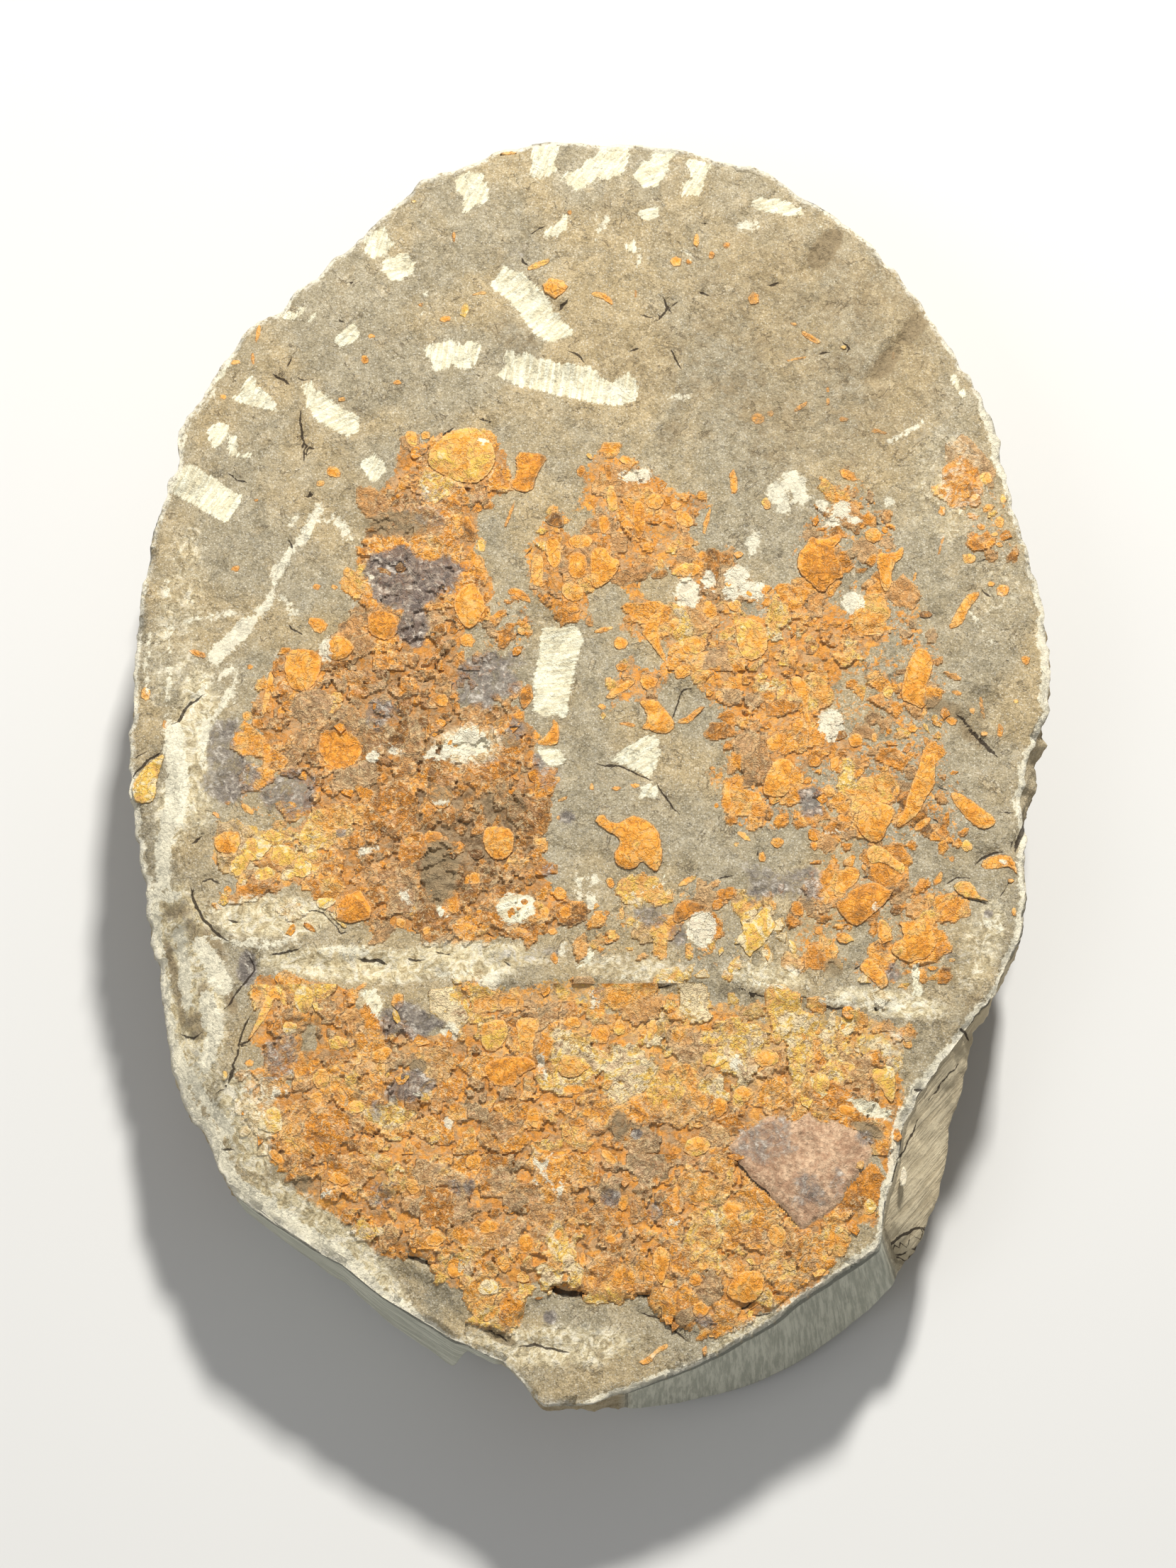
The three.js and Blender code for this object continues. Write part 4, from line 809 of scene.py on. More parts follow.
    def crack_field(self, x: Array, y: Array) -> tuple[Array, Array]:
        """Nearest crack.

        Args:
            x, y: the points.

        Returns:
            Signed gap to the crack's middle, and half its width there, 0 away from any crack.
        """
        signed, half_width = np.full(x.shape, 9.0), np.zeros(x.shape)
        for half, points in CRACKS_AND_SHADOW_LINES:
            line = np.array(points)
            near = close_to(x, y, line, 2)
            if not near.any():
                continue
            px, py = x[near], y[near]
            px, py = (place + self.crack_wander * self.fine.at(px / 2.1, py / 2.1, 0.5 + layer)
                      for layer, place in enumerate((px, py)))
            lengths = np.hypot(*np.diff(line, axis=0).T)
            whole, done = lengths.sum(), 0.0
            best, best_signed, best_half = np.full(px.shape, 9.0), np.full(px.shape, 9.0), np.zeros(px.shape)
            for start, end, length in zip(line[:-1], line[1:], lengths):
                gap, share, side = stretch_gap(px, py, start, end)
                at = (done + share * length) / whole
                taper = np.clip(np.minimum(at, 1 - at) * 5, 0, 1)
                found = gap < best
                best = np.where(found, gap, best)
                best_signed = np.where(found, gap * side, best_signed)
                best_half = np.where(found, half * taper, best_half)
                done += length
            mine = (best < np.abs(signed[near])) & (best < 1.8)
            index = np.flatnonzero(near)[mine]
            signed[index], half_width[index] = best_signed[mine], best_half[mine]
        return signed, half_width

    def face(self, x: Array, y: Array, cover: Array | None = None) -> Array:
        """Height of the bedding face before it rounds off to the rim.

        Args:
            x, y: the points.
            cover: cover of crushed shell there, worked out here if it isn't given.

        Returns:
            Height of each point.
        """
        if cover is None:
            cover = self.cover(x, y)[0]
        wander = 1.1 * self.coarse.layered(x, y, 5.0, 3)
        below = np.interp(x, LEDGE[:, 0], LEDGE[:, 1]) + wander - y
        lower = smooth(-self.step_back, self.step_front, below)
        beyond = np.interp(x, CRUST_END[:, 0], CRUST_END[:, 1]) + 0.5 * wander - y
        bare = smooth(-self.step_back, self.step_front, beyond)
        height = self.face_height - lower * (self.ledge_drop + self.lower_bed_fall * np.maximum(below, 0))
        height -= bare * self.crust_thickness
        height += self.swell_height * self.coarse.at(x / self.swell_size, y / self.swell_size)
        lumpy = 0.4 + 0.35 * lower - 0.4 * bare
        height += lumpy * self.coarse.at(x / self.lump_size, y / self.lump_size, 3.5)
        height += 0.16 * self.fine.layered(x + 0.6 * y, 1.6 * y, 6.0, 3)
        for x1, y1, x2, y2, width, depth in TROUGHS:
            near = stretch_gap(x, y, (x1, y1), (x2, y2))[0] / (width / 2)
            height -= depth * np.maximum(0, 1 - near * near)
        for middle_x, middle_y, radius, rise in SHIELDS:
            near = np.hypot(x - middle_x, y - middle_y) / radius
            height += rise * np.maximum(0, 1 - near * near)
        height += self.plate_height * smooth(-0.6, 0.8, self.plate(x, y))
        height += cover * self.chip_height * self.chips(x, y, self.chip_size, 5)[0]
        height += cover * self.flake_height * self.chips(x, y, self.flake_size, 6)[0]
        height += self.grit_height * self.fine.at(x / 1.3, y / 1.3, 7.5)
        over = np.maximum(height - self.stone_top + 0.8, 0)
        return np.minimum(height, self.stone_top - 0.8) + 0.8 * (1 - np.exp(-over / 0.8))

    def on_disc(self, across: Array, along: Array) -> tuple[Array, Array]:
        """Sends a square to the disc, so that the square's sides become its rim.

        Args:
            across, along: a point of the square, each from -1 to 1.

        Returns:
            Bearing on the slab in radians, and the share of the way out to the edge.
        """
        u = across * np.sqrt(1 - along ** 2 / 2)
        v = along * np.sqrt(1 - across ** 2 / 2)
        bearing = np.arctan2(self.half_length * v, self.half_width * u) + 0.25
        return bearing, np.hypot(u, v)

    def reach(self, bearing: Array, below: Array | float = 0.0) -> Array:
        """Distance of the chipped sides from the slab's middle.

        Args:
            bearing: bearings in radians.
            below: how far below the rim, where the chips are different ones.

        Returns:
            One distance for each bearing.
        """
        ragged = self.coarse.at(26 * np.cos(bearing), 26 * np.sin(bearing), 4.5 + below / 5)
        nicks = self.fine.at(70 * np.cos(bearing), 70 * np.sin(bearing), 4.5 + below / 2.5)
        straight = 1 - 0.8 * self.band(bearing, self.sawn_left) - 0.8 * self.band(bearing, self.sawn_right)
        return self.edge(np.degrees(bearing), 1) - straight * (0.5 + 1.1 * ragged + 0.5 * nicks)

    def band(self, bearing: Array, limits: tuple[float, float]) -> Array:
        """Tells where one stretch of the sides is.

        Args:
            bearing: bearings in radians.
            limits: the stretch's two ends, in degrees.

        Returns:
            1 between the two ends and 0 outside.
        """
        degrees = np.mod(np.degrees(bearing), 360)
        return smooth(limits[0] - 0.8, limits[0] + 0.8, degrees) * (
            1 - smooth(limits[1] - 0.8, limits[1] + 0.8, degrees))

    def rounded_off(self, height: Array, bearing: Array, share: Array) -> Array:
        """Rounds the face off towards the rim.

        Args:
            height: heights of the face.
            bearing: bearings in radians.
            share: shares of the way out to the rim.

        Returns:
            The rounded heights.
        """
        rounding = smooth(1 - self.edge_rounding, 1, share) ** 1.5
        rim = self.edge(np.degrees(bearing), 2) + 0.35 * (height - self.face_height)
        return height * (1 - rounding) + rim * rounding

    def surface(self, x: Array, y: Array) -> tuple[Array, Array]:
        """Surface that loose shell lies on.

        Args:
            x, y: the points.

        Returns:
            Height of each point, and its gap to the rim, negative outside it.
        """
        bearing = bearing_of(x, y)
        reach, out = self.reach(bearing), np.hypot(x, y)
        return self.rounded_off(self.face(x, y), bearing, np.minimum(out / reach, 1)), reach - out

    def face_point(self, bearing: Array, share: Array) -> tuple[Array, Array, Array, Array]:
        """Points of the bedding face.

        Args:
            bearing: bearings in radians.
            share: shares of the way out to the rim.

        Returns:
            x, y and z of each point, and its gap to the rim.
        """
        reach = self.reach(bearing)
        x, y = reach * share * np.cos(bearing), reach * share * np.sin(bearing)
        rim_gap = (1 - share) * reach
        z = self.rounded_off(self.face(x, y), bearing, share)
        broken = 0.8 + 1.1 * self.coarse.at(x / 5, y / 5, 9.5)
        z -= np.clip(broken, 0.1, 2) * smooth(self.arris, 0, rim_gap)
        signed, half = self.crack_field(x.ravel(), y.ravel())
        z -= (self.crack_depth * half * np.exp(-(signed ** 2))).reshape(z.shape)
        return x, y, z, rim_gap

    def side_point(self, bearing: Array, down: Array, rim_z: Array) -> tuple[Array, Array, Array]:
        """Points of the sides, from the rim out to the widest line and back in to the foot.

        Args:
            bearing: bearings in radians.
            down: shares of the way down, 0 at the rim and 1 at the foot.
            rim_z: height of the rim at those bearings.

        Returns:
            x, y and z of each point.
        """
        degrees = np.degrees(bearing)
        stand, belly, inset = (self.edge(degrees, column) for column in (3, 4, 5))
        upper = np.clip(down * 2, 0, 1)
        under = np.clip(down * 2 - 1, 0, 1)
        off = stand * upper + (-inset - stand) * under
        z = rim_z + (belly - rim_z) * upper + (self.foot_height - belly) * under
        smoothed = np.clip(self.band(bearing, self.sawn_left) + self.band(bearing, self.sawn_right), 0, 1)
        planed = np.maximum(smoothed, self.band(bearing, self.bevel_run) * (1 - under) * 0.75)
        u, v = self.beds_around * np.cos(bearing), self.beds_around * np.sin(bearing)
        beds = self.bed_least + self.bed_depth * np.abs(self.coarse.at(u, v, z / self.bed_thickness))
        scallops = self.scallop_depth * np.abs(self.fine.at(1.8 * u, 1.8 * v, z / self.scallop_height))
        layers = 0.55 * np.abs(self.fine.at(2 * u, 2 * v, z / 1.9))
        layers += 0.3 * self.fine.at(12 * u, 12 * v, z / 2)
        bitten = (1 - 0.93 * planed) * (beds + scallops + layers) * np.sin(np.pi * np.clip(down, 0, 1)) ** 0.7
        reach = self.reach(bearing, rim_z - z) + off - bitten
        return reach * np.cos(bearing), reach * np.sin(bearing), z


@dataclass
class BedMarks:
    """Stains, painted shade, bruises and cracks of the bed, as one value for each point of a mesh."""

    form: SlabForm

    @staticmethod
    def stained(x: Array, y: Array, ovals: list[tuple]) -> Array:
        """Strength of the strongest of some oval stains.

        Args:
            x, y: the points.
            ovals: middle x and y, radii, turn and strength of each.

        Returns:
            Strength from 0 to 1 for each point.
        """
        total = np.zeros(x.shape)
        for *oval, strength in ovals:
            total = np.maximum(total, strength * (1 - smooth(0.55, 1.25, oval_share(x, y, oval))))
        return total

    def soaked(self, x: Array, y: Array) -> Array:
        """Strength of the dark purplish stains.

        Args:
            x, y: the points.

        Returns:
            Strength from 0 to 1 for each point.
        """
        wander = 2.6 * self.form.coarse.layered(x + 40, y, 7.0, 4)
        total = self.stained(x, y, PURPLE)
        for strength, outline in STAINS:
            total = np.maximum(total, strength * smooth(-1.8, 1.6, inside_gap(x, y, outline) + wander))
        return total

    def bruised(self, x: Array, y: Array) -> tuple[Array, Array]:
        """Depth inside the nearest bruise, and a comb that follows its strokes.

        Args:
            x, y: the points.

        Returns:
            Signed depth in millimetres, and comb coordinates of shape (n, 3).
        """
        depth = np.full(x.shape, -4.0)
        comb = np.stack([x, y, np.zeros(x.shape)], axis=-1)
        for number, (turn, outline) in enumerate(BRUISES):
            near = close_to(x, y, np.array(outline), 4)
            gap = inside_gap(x[near], y[near], outline)
            index = np.flatnonzero(near)[gap > depth[near]]
            depth[index] = gap[gap > depth[near]]
            along = np.array([math.cos(math.radians(turn)), math.sin(math.radians(turn))])
            place = np.stack([x[index], y[index]], axis=-1)
            comb[index, 0] = place @ np.array([-along[1], along[0]])
            comb[index, 1] = 0.12 * place @ along
            comb[index, 2] = 7.0 * number
        return depth, comb

    def chalked(self, x: Array, y: Array) -> Array:
        """Depth inside the nearest chalky patch or line, in millimetres.

        Args:
            x, y: the points.

        Returns:
            Signed depth for each point, down to -4.
        """
        depth = np.full(x.shape, -4.0)
        for oval in CHALK:
            depth = np.maximum(depth, (1 - oval_share(x, y, oval)) * min(oval[2], oval[3]))
        for half, points in STREAKS:
            for start, end in zip(points, points[1:]):
                depth = np.maximum(depth, half - stretch_gap(x, y, start, end)[0])
        return depth

    def fields(self, x: Array, y: Array) -> dict[str, Array]:
        """Every mark at some points of the bed.

        Args:
            x, y: the points, in flat arrays.

        Returns:
            Name of each attribute and its values.
        """
        cover, shift = self.form.cover(x, y)
        crack_gap, crack_half = self.form.crack_field(x, y)
        bruise, comb = self.bruised(x, y)
        inward = self.form.reach(bearing_of(x, y)) - np.hypot(x, y)
        chalk = np.maximum(self.chalked(x, y), np.maximum(self.form.rim_chalk(x, y) - inward, -4.0))
        chip_tone = 0.65 * self.form.chips(x, y, self.form.chip_size, 5)[1]
        chip_tone += 0.35 * self.form.chips(x, y, self.form.flake_size, 6)[1]
        pink = smooth(-0.8, 0.8, self.form.plate(x, y))
        return {
            "cover": cover * (1 - 0.85 * pink), "shift": shift, "chip_tone": chip_tone, "pink": pink,
            "purple": self.soaked(x, y), "dull": self.stained(x, y, DULL_AND_SHADE),
            "dusted": self.stained(x, y, DUSTED), "bruise": bruise, "chalk": chalk,
            "crack_gap": crack_gap, "crack_half": crack_half, "comb": comb,
        }


def mesh_object(
        name: str, corners: Array, faces: list | Array, attributes: dict[str, Array]) -> bpy.types.Object:
    """Makes a mesh object at the origin.

    Args:
        name: name of the object.
        corners: places in millimetres, of shape (n, 3).
        faces: corner numbers of each face.
        attributes: values for each corner, by the attribute's name.

    Returns:
        The object, linked to the scene.
    """
    mesh = bpy.data.meshes.new(name)
    mesh.from_pydata((np.asarray(corners) * METRES).tolist(), [], [tuple(map(int, one)) for one in faces])
    for key, values in attributes.items():
        flat = np.asarray(values, np.float32)
        kind, part = ("FLOAT_VECTOR", "vector") if flat.ndim == 2 else ("FLOAT", "value")
        mesh.attributes.new(key, kind, "POINT").data.foreach_set(part, flat.ravel())
    mesh.update()
    made = bpy.data.objects.new(name, mesh)
    bpy.context.scene.collection.objects.link(made)
    return made


def grid_quads(columns: int, rows_up: int) -> Array:
    """Quads between the points of a grid that are numbered row by row."""
    first = (np.arange(rows_up - 1)[:, None] * columns + np.arange(columns - 1)).ravel()
    return np.stack([first, first + 1, first + columns + 1, first + columns], axis=1)


class NodeTree:
    """Lays out and links the nodes of one shader or geometry tree."""

    def __init__(self, tree: bpy.types.NodeTree) -> None:
        """Takes over the tree that nodes are added to."""
        self.tree = tree

    def node(self, kind: str, sockets: dict | None = None, **settings) -> bpy.types.Node:
        """Adds a node.

        Args:
            kind: the node's type.
            sockets: a value or a linked socket for inputs, by name or number.
            **settings: properties of the node.

        Returns:
            The node.
        """
        made = self.tree.nodes.new(kind)
        made.location = (180 * (len(self.tree.nodes) % 24), -220 * (len(self.tree.nodes) // 24))
        for key, value in settings.items():
            setattr(made, key, value)
        for key, value in (sockets or {}).items():
            self.feed(made.inputs[key], value)
        return made

    def feed(self, socket: Socket, value: object) -> None:
        """Fills an input.

        Args:
            socket: the input.
            value: a socket that is linked into it, or its value.
        """
        if isinstance(value, Socket):
            self.tree.links.new(value, socket)
        else:
            socket.default_value = value

    def use(self, group: bpy.types.NodeTree, **sockets) -> bpy.types.NodeOutputs:
        """Places a shader node group, fills its inputs and returns its outputs."""
        return self.node("ShaderNodeGroup", sockets, node_tree=group).outputs

    def math(self, operation: str, *values) -> Socket:
        """Adds a Math node and returns its result."""
        return self.node("ShaderNodeMath", dict(enumerate(values)), operation=operation).outputs[0]

    def vector(self, operation: str, first: object, second: object) -> Socket:
        """Adds a Vector Math node and returns its result, the number for a dot product."""
        made = self.node("ShaderNodeVectorMath", {0: first, 1: second}, operation=operation)
        return made.outputs[int(operation == "DOT_PRODUCT")]

    def total(self, *parts: tuple, plus: object = 0.0, clamp: bool = False) -> Socket:
        """Adds up values.

        Args:
            parts: a value and its share, for each.
            plus: what is added to them.
            clamp: whether the sum is kept between 0 and 1.

        Returns:
            The sum.
        """
        for value, share in parts:
            plus = self.math("MULTIPLY_ADD", value, share, plus)
        plus.node.use_clamp = clamp
        return plus

    def times(self, first: object, *others) -> object:
        """Multiplies values.

        Args:
            first, others: numbers or sockets.

        Returns:
            Their product.
        """
        for other in others:
            first = self.math("MULTIPLY", first, other)
        return first

    def blend(self, share: object, first: object, second: object, mode: str = "MIX") -> Socket:
        """Mixes two colours, each a socket or a display colour of three numbers.

        Args:
            share: how much of the second.
            first, second: the colours.
            mode: how they are mixed.

        Returns:
            The mixed colour.
        """
        made = self.node("ShaderNodeMix", data_type="RGBA", blend_type=mode)
        for number, value in ((0, share), (6, first), (7, second)):
            self.feed(made.inputs[number], linear(*value) if isinstance(value, tuple) else value)
        return made.outputs[2]

    def over(self, colour: object, tone: object, *shares) -> Socket:
        """Lays a tone over a colour, as strongly as the product of some shares."""
        return self.blend(self.times(*shares), colour, tone)

    def step(self, value: object, low: float, high: float) -> Socket:
        """A smooth step of a value from 0 at low to 1 at high."""
        return self.node(
            "ShaderNodeMapRange", {0: value, 1: low, 2: high}, interpolation_type="SMOOTHSTEP").outputs[0]

    def noise(self, vector: object, scale: object, detail: float, rough: float = 0.55,
              warp: float = 0.0) -> Socket:
        """Adds a Noise node.

        Args:
            vector: coordinates that it reads.
            scale, detail, rough, warp: its settings.

        Returns:
            Its value.
        """
        return self.node("ShaderNodeTexNoise", {
            "Vector": vector, "Scale": scale, "Detail": detail, "Roughness": rough,
            "Distortion": warp}).outputs[0]

    def folds(self, vector: object, scale: float, detail: float, warp: float) -> Socket:
        """Noise that falls to 0 along winding lines."""
        centred = self.total((self.noise(vector, scale, detail, 0.6, warp), 1.0), plus=-0.5)
        return self.math("ABSOLUTE", centred)

    def field(self, name: str, output: str = "Fac") -> Socket:
        """What the mesh holds under an attribute's name."""
        return self.node("ShaderNodeAttribute", attribute_name=name).outputs[output]

    def ramp(self, share: object, *stops: tuple) -> Socket:
        """Adds a colour ramp.

        Args:
            share: where on the ramp.
            stops: place, red, green and blue of each stop, the colours from 0 to 255.

        Returns:
            The colour.
        """
        made = self.node("ShaderNodeValToRGB", {0: share})
        elements = made.color_ramp.elements
        while len(elements) < len(stops):
            elements.new(0.5)
        for element, (place, *colour) in zip(elements, stops):
            element.position, element.color = place, linear(*colour)
        return made.outputs[0]


def shared(name: str, inputs: dict[str, str], outputs: dict[str, str], body: Callable) -> bpy.types.NodeTree:
    """Makes a shader node group.

    Args:
        name: the group's name.
        inputs, outputs: type of each socket, by its name.
        body: takes the group's helper and its inputs, and returns what goes out, in order.

    Returns:
        The group.
    """
    tree = bpy.data.node_groups.new(name, "ShaderNodeTree")
    for way, sockets in (("INPUT", inputs), ("OUTPUT", outputs)):
        for label, kind in sockets.items():
            tree.interface.new_socket(label, in_out=way, socket_type=f"NodeSocket{kind}")
    lay = NodeTree(tree)
    taken, given = lay.node("NodeGroupInput").outputs, lay.node("NodeGroupOutput").inputs
    for label, value in zip(outputs, body(lay, *(taken[label] for label in inputs))):
        lay.feed(given[label], value)
    return tree


class FinishGroups:
    """Node groups that more than one finish uses."""

    def __init__(self) -> None:
        """Builds every group once."""
        numbers = dict.fromkeys(("Mottle", "Pale", "Dark", "Height"), "Float")
        self.grain = shared("sand_grain", {"Vector": "Vector", "Grains": "Float"}, numbers, self._grain)
        self.facets = shared(
            "chipped_facets", {"Vector": "Vector", "Facets": "Float"}, {"Height": "Float"}, self._facets)
        self.marbling = shared(
            "flaky_marbling", {"Vector": "Vector", "Bands": "Float"}, {"Band": "Float"}, self._marbling)
        self.limonite = shared("limonite_colour", {"Shade": "Float"}, {"Color": "Color"}, self._limonite)
        self.combing = shared(
            "combed_scores", {"Comb": "Vector", "Spacing": "Float"}, {"Scores": "Float"}, self._combing)
        amounts = dict.fromkeys(
            ("Scores", "Coarse", "Fine", "Flake", *map(str.capitalize, LAID_MARKS)), "Float")
        self.marked = shared("marked_stone", {"Color": "Color", **amounts}, {"Color": "Color"}, self._marked)

    @staticmethod
    def _grain(lay: NodeTree, place: Socket, size: Socket) -> tuple:
        """Sand-sized grain.

        Args:
            lay: the group's helper.
            place: coordinates in millimetres.
            size: grains to a millimetre.

        Returns:
            Mottling, pale specks, dark specks and the height of the grains.
        """
        fine = lay.noise(place, size, 3.0, 0.7)
        cells = lay.node("ShaderNodeTexVoronoi", {"Vector": place, "Scale": size, "Randomness": 1.0}).outputs
        broad = lay.noise(place, lay.times(size, 0.12), 4.0, 0.6)
        pick = lay.node("ShaderNodeSeparateColor", {0: cells["Color"]}).outputs
        near = lay.step(cells["Distance"], 0.55, 0.2)
        return (lay.total((fine, 0.68), (broad, 0.32)), lay.times(lay.step(pick[0], 0.72, 0.86), near),
                lay.times(lay.step(pick[1], 0.8, 0.92), near), lay.total((pick[2], 0.35), plus=fine))

    @staticmethod
    def _facets(lay: NodeTree, place: Socket, size: Socket) -> tuple:
        """Small flat facets, each tilted its own way, as fine stone breaks.

        Args:
            lay: the group's helper.
            place: coordinates in millimetres.
            size: facets to a millimetre.

        Returns:
            Height of the facets.
        """
        wander = lay.node("ShaderNodeTexNoise", {
            "Vector": place, "Scale": lay.times(size, 1.3), "Roughness": 0.55})
        bent = lay.vector("ADD", place, wander.outputs[1])
        cells = lay.node("ShaderNodeTexVoronoi", {"Vector": bent, "Scale": size, "Randomness": 1.0}).outputs
        tilt = lay.vector("SUBTRACT", cells["Color"], (0.5, 0.5, 0.5))
        rise = lay.vector("DOT_PRODUCT", lay.vector("SUBTRACT", bent, cells["Position"]), tilt)
        pick = lay.node("ShaderNodeSeparateColor", {0: cells["Color"]}).outputs[2]
        return (lay.total((rise, 1.0), plus=lay.math("DIVIDE", lay.times(pick, 0.12), size)),)

    @staticmethod
    def _marbling(lay: NodeTree, place: Socket, size: Socket) -> tuple:
        """Swirling bands, as in crushed and smeared flakes."""
        return (lay.step(lay.noise(place, size, 5.0, 0.64, 1.7), 0.3, 0.7),)

    @staticmethod
    def _limonite(lay: NodeTree, shade: Socket) -> tuple:
        """Colour of iron-stained shell.

        Args:
            lay: the group's helper.
            shade: from 0, dark brown, to 1, cream.

        Returns:
            The colour.
        """
        colours = ((104, 74, 44), (150, 104, 52), (188, 124, 50), (222, 144, 48),
                   (238, 163, 62), (230, 176, 104), (232, 188, 76), (236, 216, 172))
        return (lay.ramp(shade, *((tint.value, *colour) for tint, colour in zip(Tint, colours))),)

    @staticmethod
    def _combing(lay: NodeTree, comb: Socket, spacing: Socket) -> tuple:
        """Fine parallel scores along a comb of coordinates."""
        return (lay.step(lay.noise(comb, spacing, 3.0, 0.65), 0.36, 0.64),)

    @staticmethod
    def _marked(lay: NodeTree, colour: Socket, scores: Socket, coarse: Socket, fine: Socket, flake: Socket,
                purple: Socket, dull: Socket, dusted: Socket, bruise: Socket, chalk: Socket) -> tuple:
        """Stains, painted shade, dusting, chalk and bruises laid over the colour of stone or shell.

        Args:
            lay: the group's helper.
            colour: the colour below.
            scores: fine parallel scores, that bruises show.
            coarse, fine, flake: three sizes of noise, that fray the marks.
            purple, dull, dusted: strengths of the purple stains, of the dull brown stains and painted shade
                together, and of the dusting.
            bruise, chalk: depths inside those marks.

        Returns:
            The colour with its marks.
        """
        blotched = lay.total((coarse, 0.6), (fine, 0.4), (flake, 0.3), plus=-0.15)
        cream = lay.ramp(flake, (0.0, 172, 152, 114), (0.25, 208, 190, 148), (0.5, 230, 215, 176),
                         (0.9, 244, 234, 208))
        # The dull tone is a dull brown stain in places and painted shade on shadowed flanks in others.
        for soft, tone, share in ((dusted, cream, 0.85), (dull, (146, 128, 98), 0.85)):
            laid = lay.step(lay.total((soft, 1.0), plus=blotched), 0.62, 1.1)
            colour = lay.over(colour, tone, laid, lay.step(soft, 0.0, 0.1), share)
        stain = lay.step(lay.total((purple, 0.85), plus=blotched), 0.72, 1.2)
        stained = lay.ramp(lay.total((fine, 0.6), (flake, 0.4)), (0.3, 92, 86, 84), (0.5, 122, 114, 110),
                           (0.62, 158, 148, 136), (0.72, 206, 198, 186))
        colour = lay.over(colour, stained, stain, lay.step(purple, 0.0, 0.12), 0.85)
        loose = lay.total((coarse, 4.0), (fine, 4.0), plus=-4.0)
        ragged = lay.total((bruise, 1.0), (loose, 0.34), (scores, 0.6), (flake, 0.7), plus=-0.74)
        struck = lay.step(ragged, -0.15, 0.35)
        colour = lay.over(colour, lay.blend(scores, (221, 210, 176), (246, 241, 214)), struck, 0.94)
        chalky = lay.step(lay.total((chalk, 1.0), (loose, 0.7), (flake, 1.0), plus=-0.55), -0.1, 0.5)
        return (lay.over(colour, (236, 228, 202), chalky, lay.step(chalk, -1.6, -0.6), 0.85),)


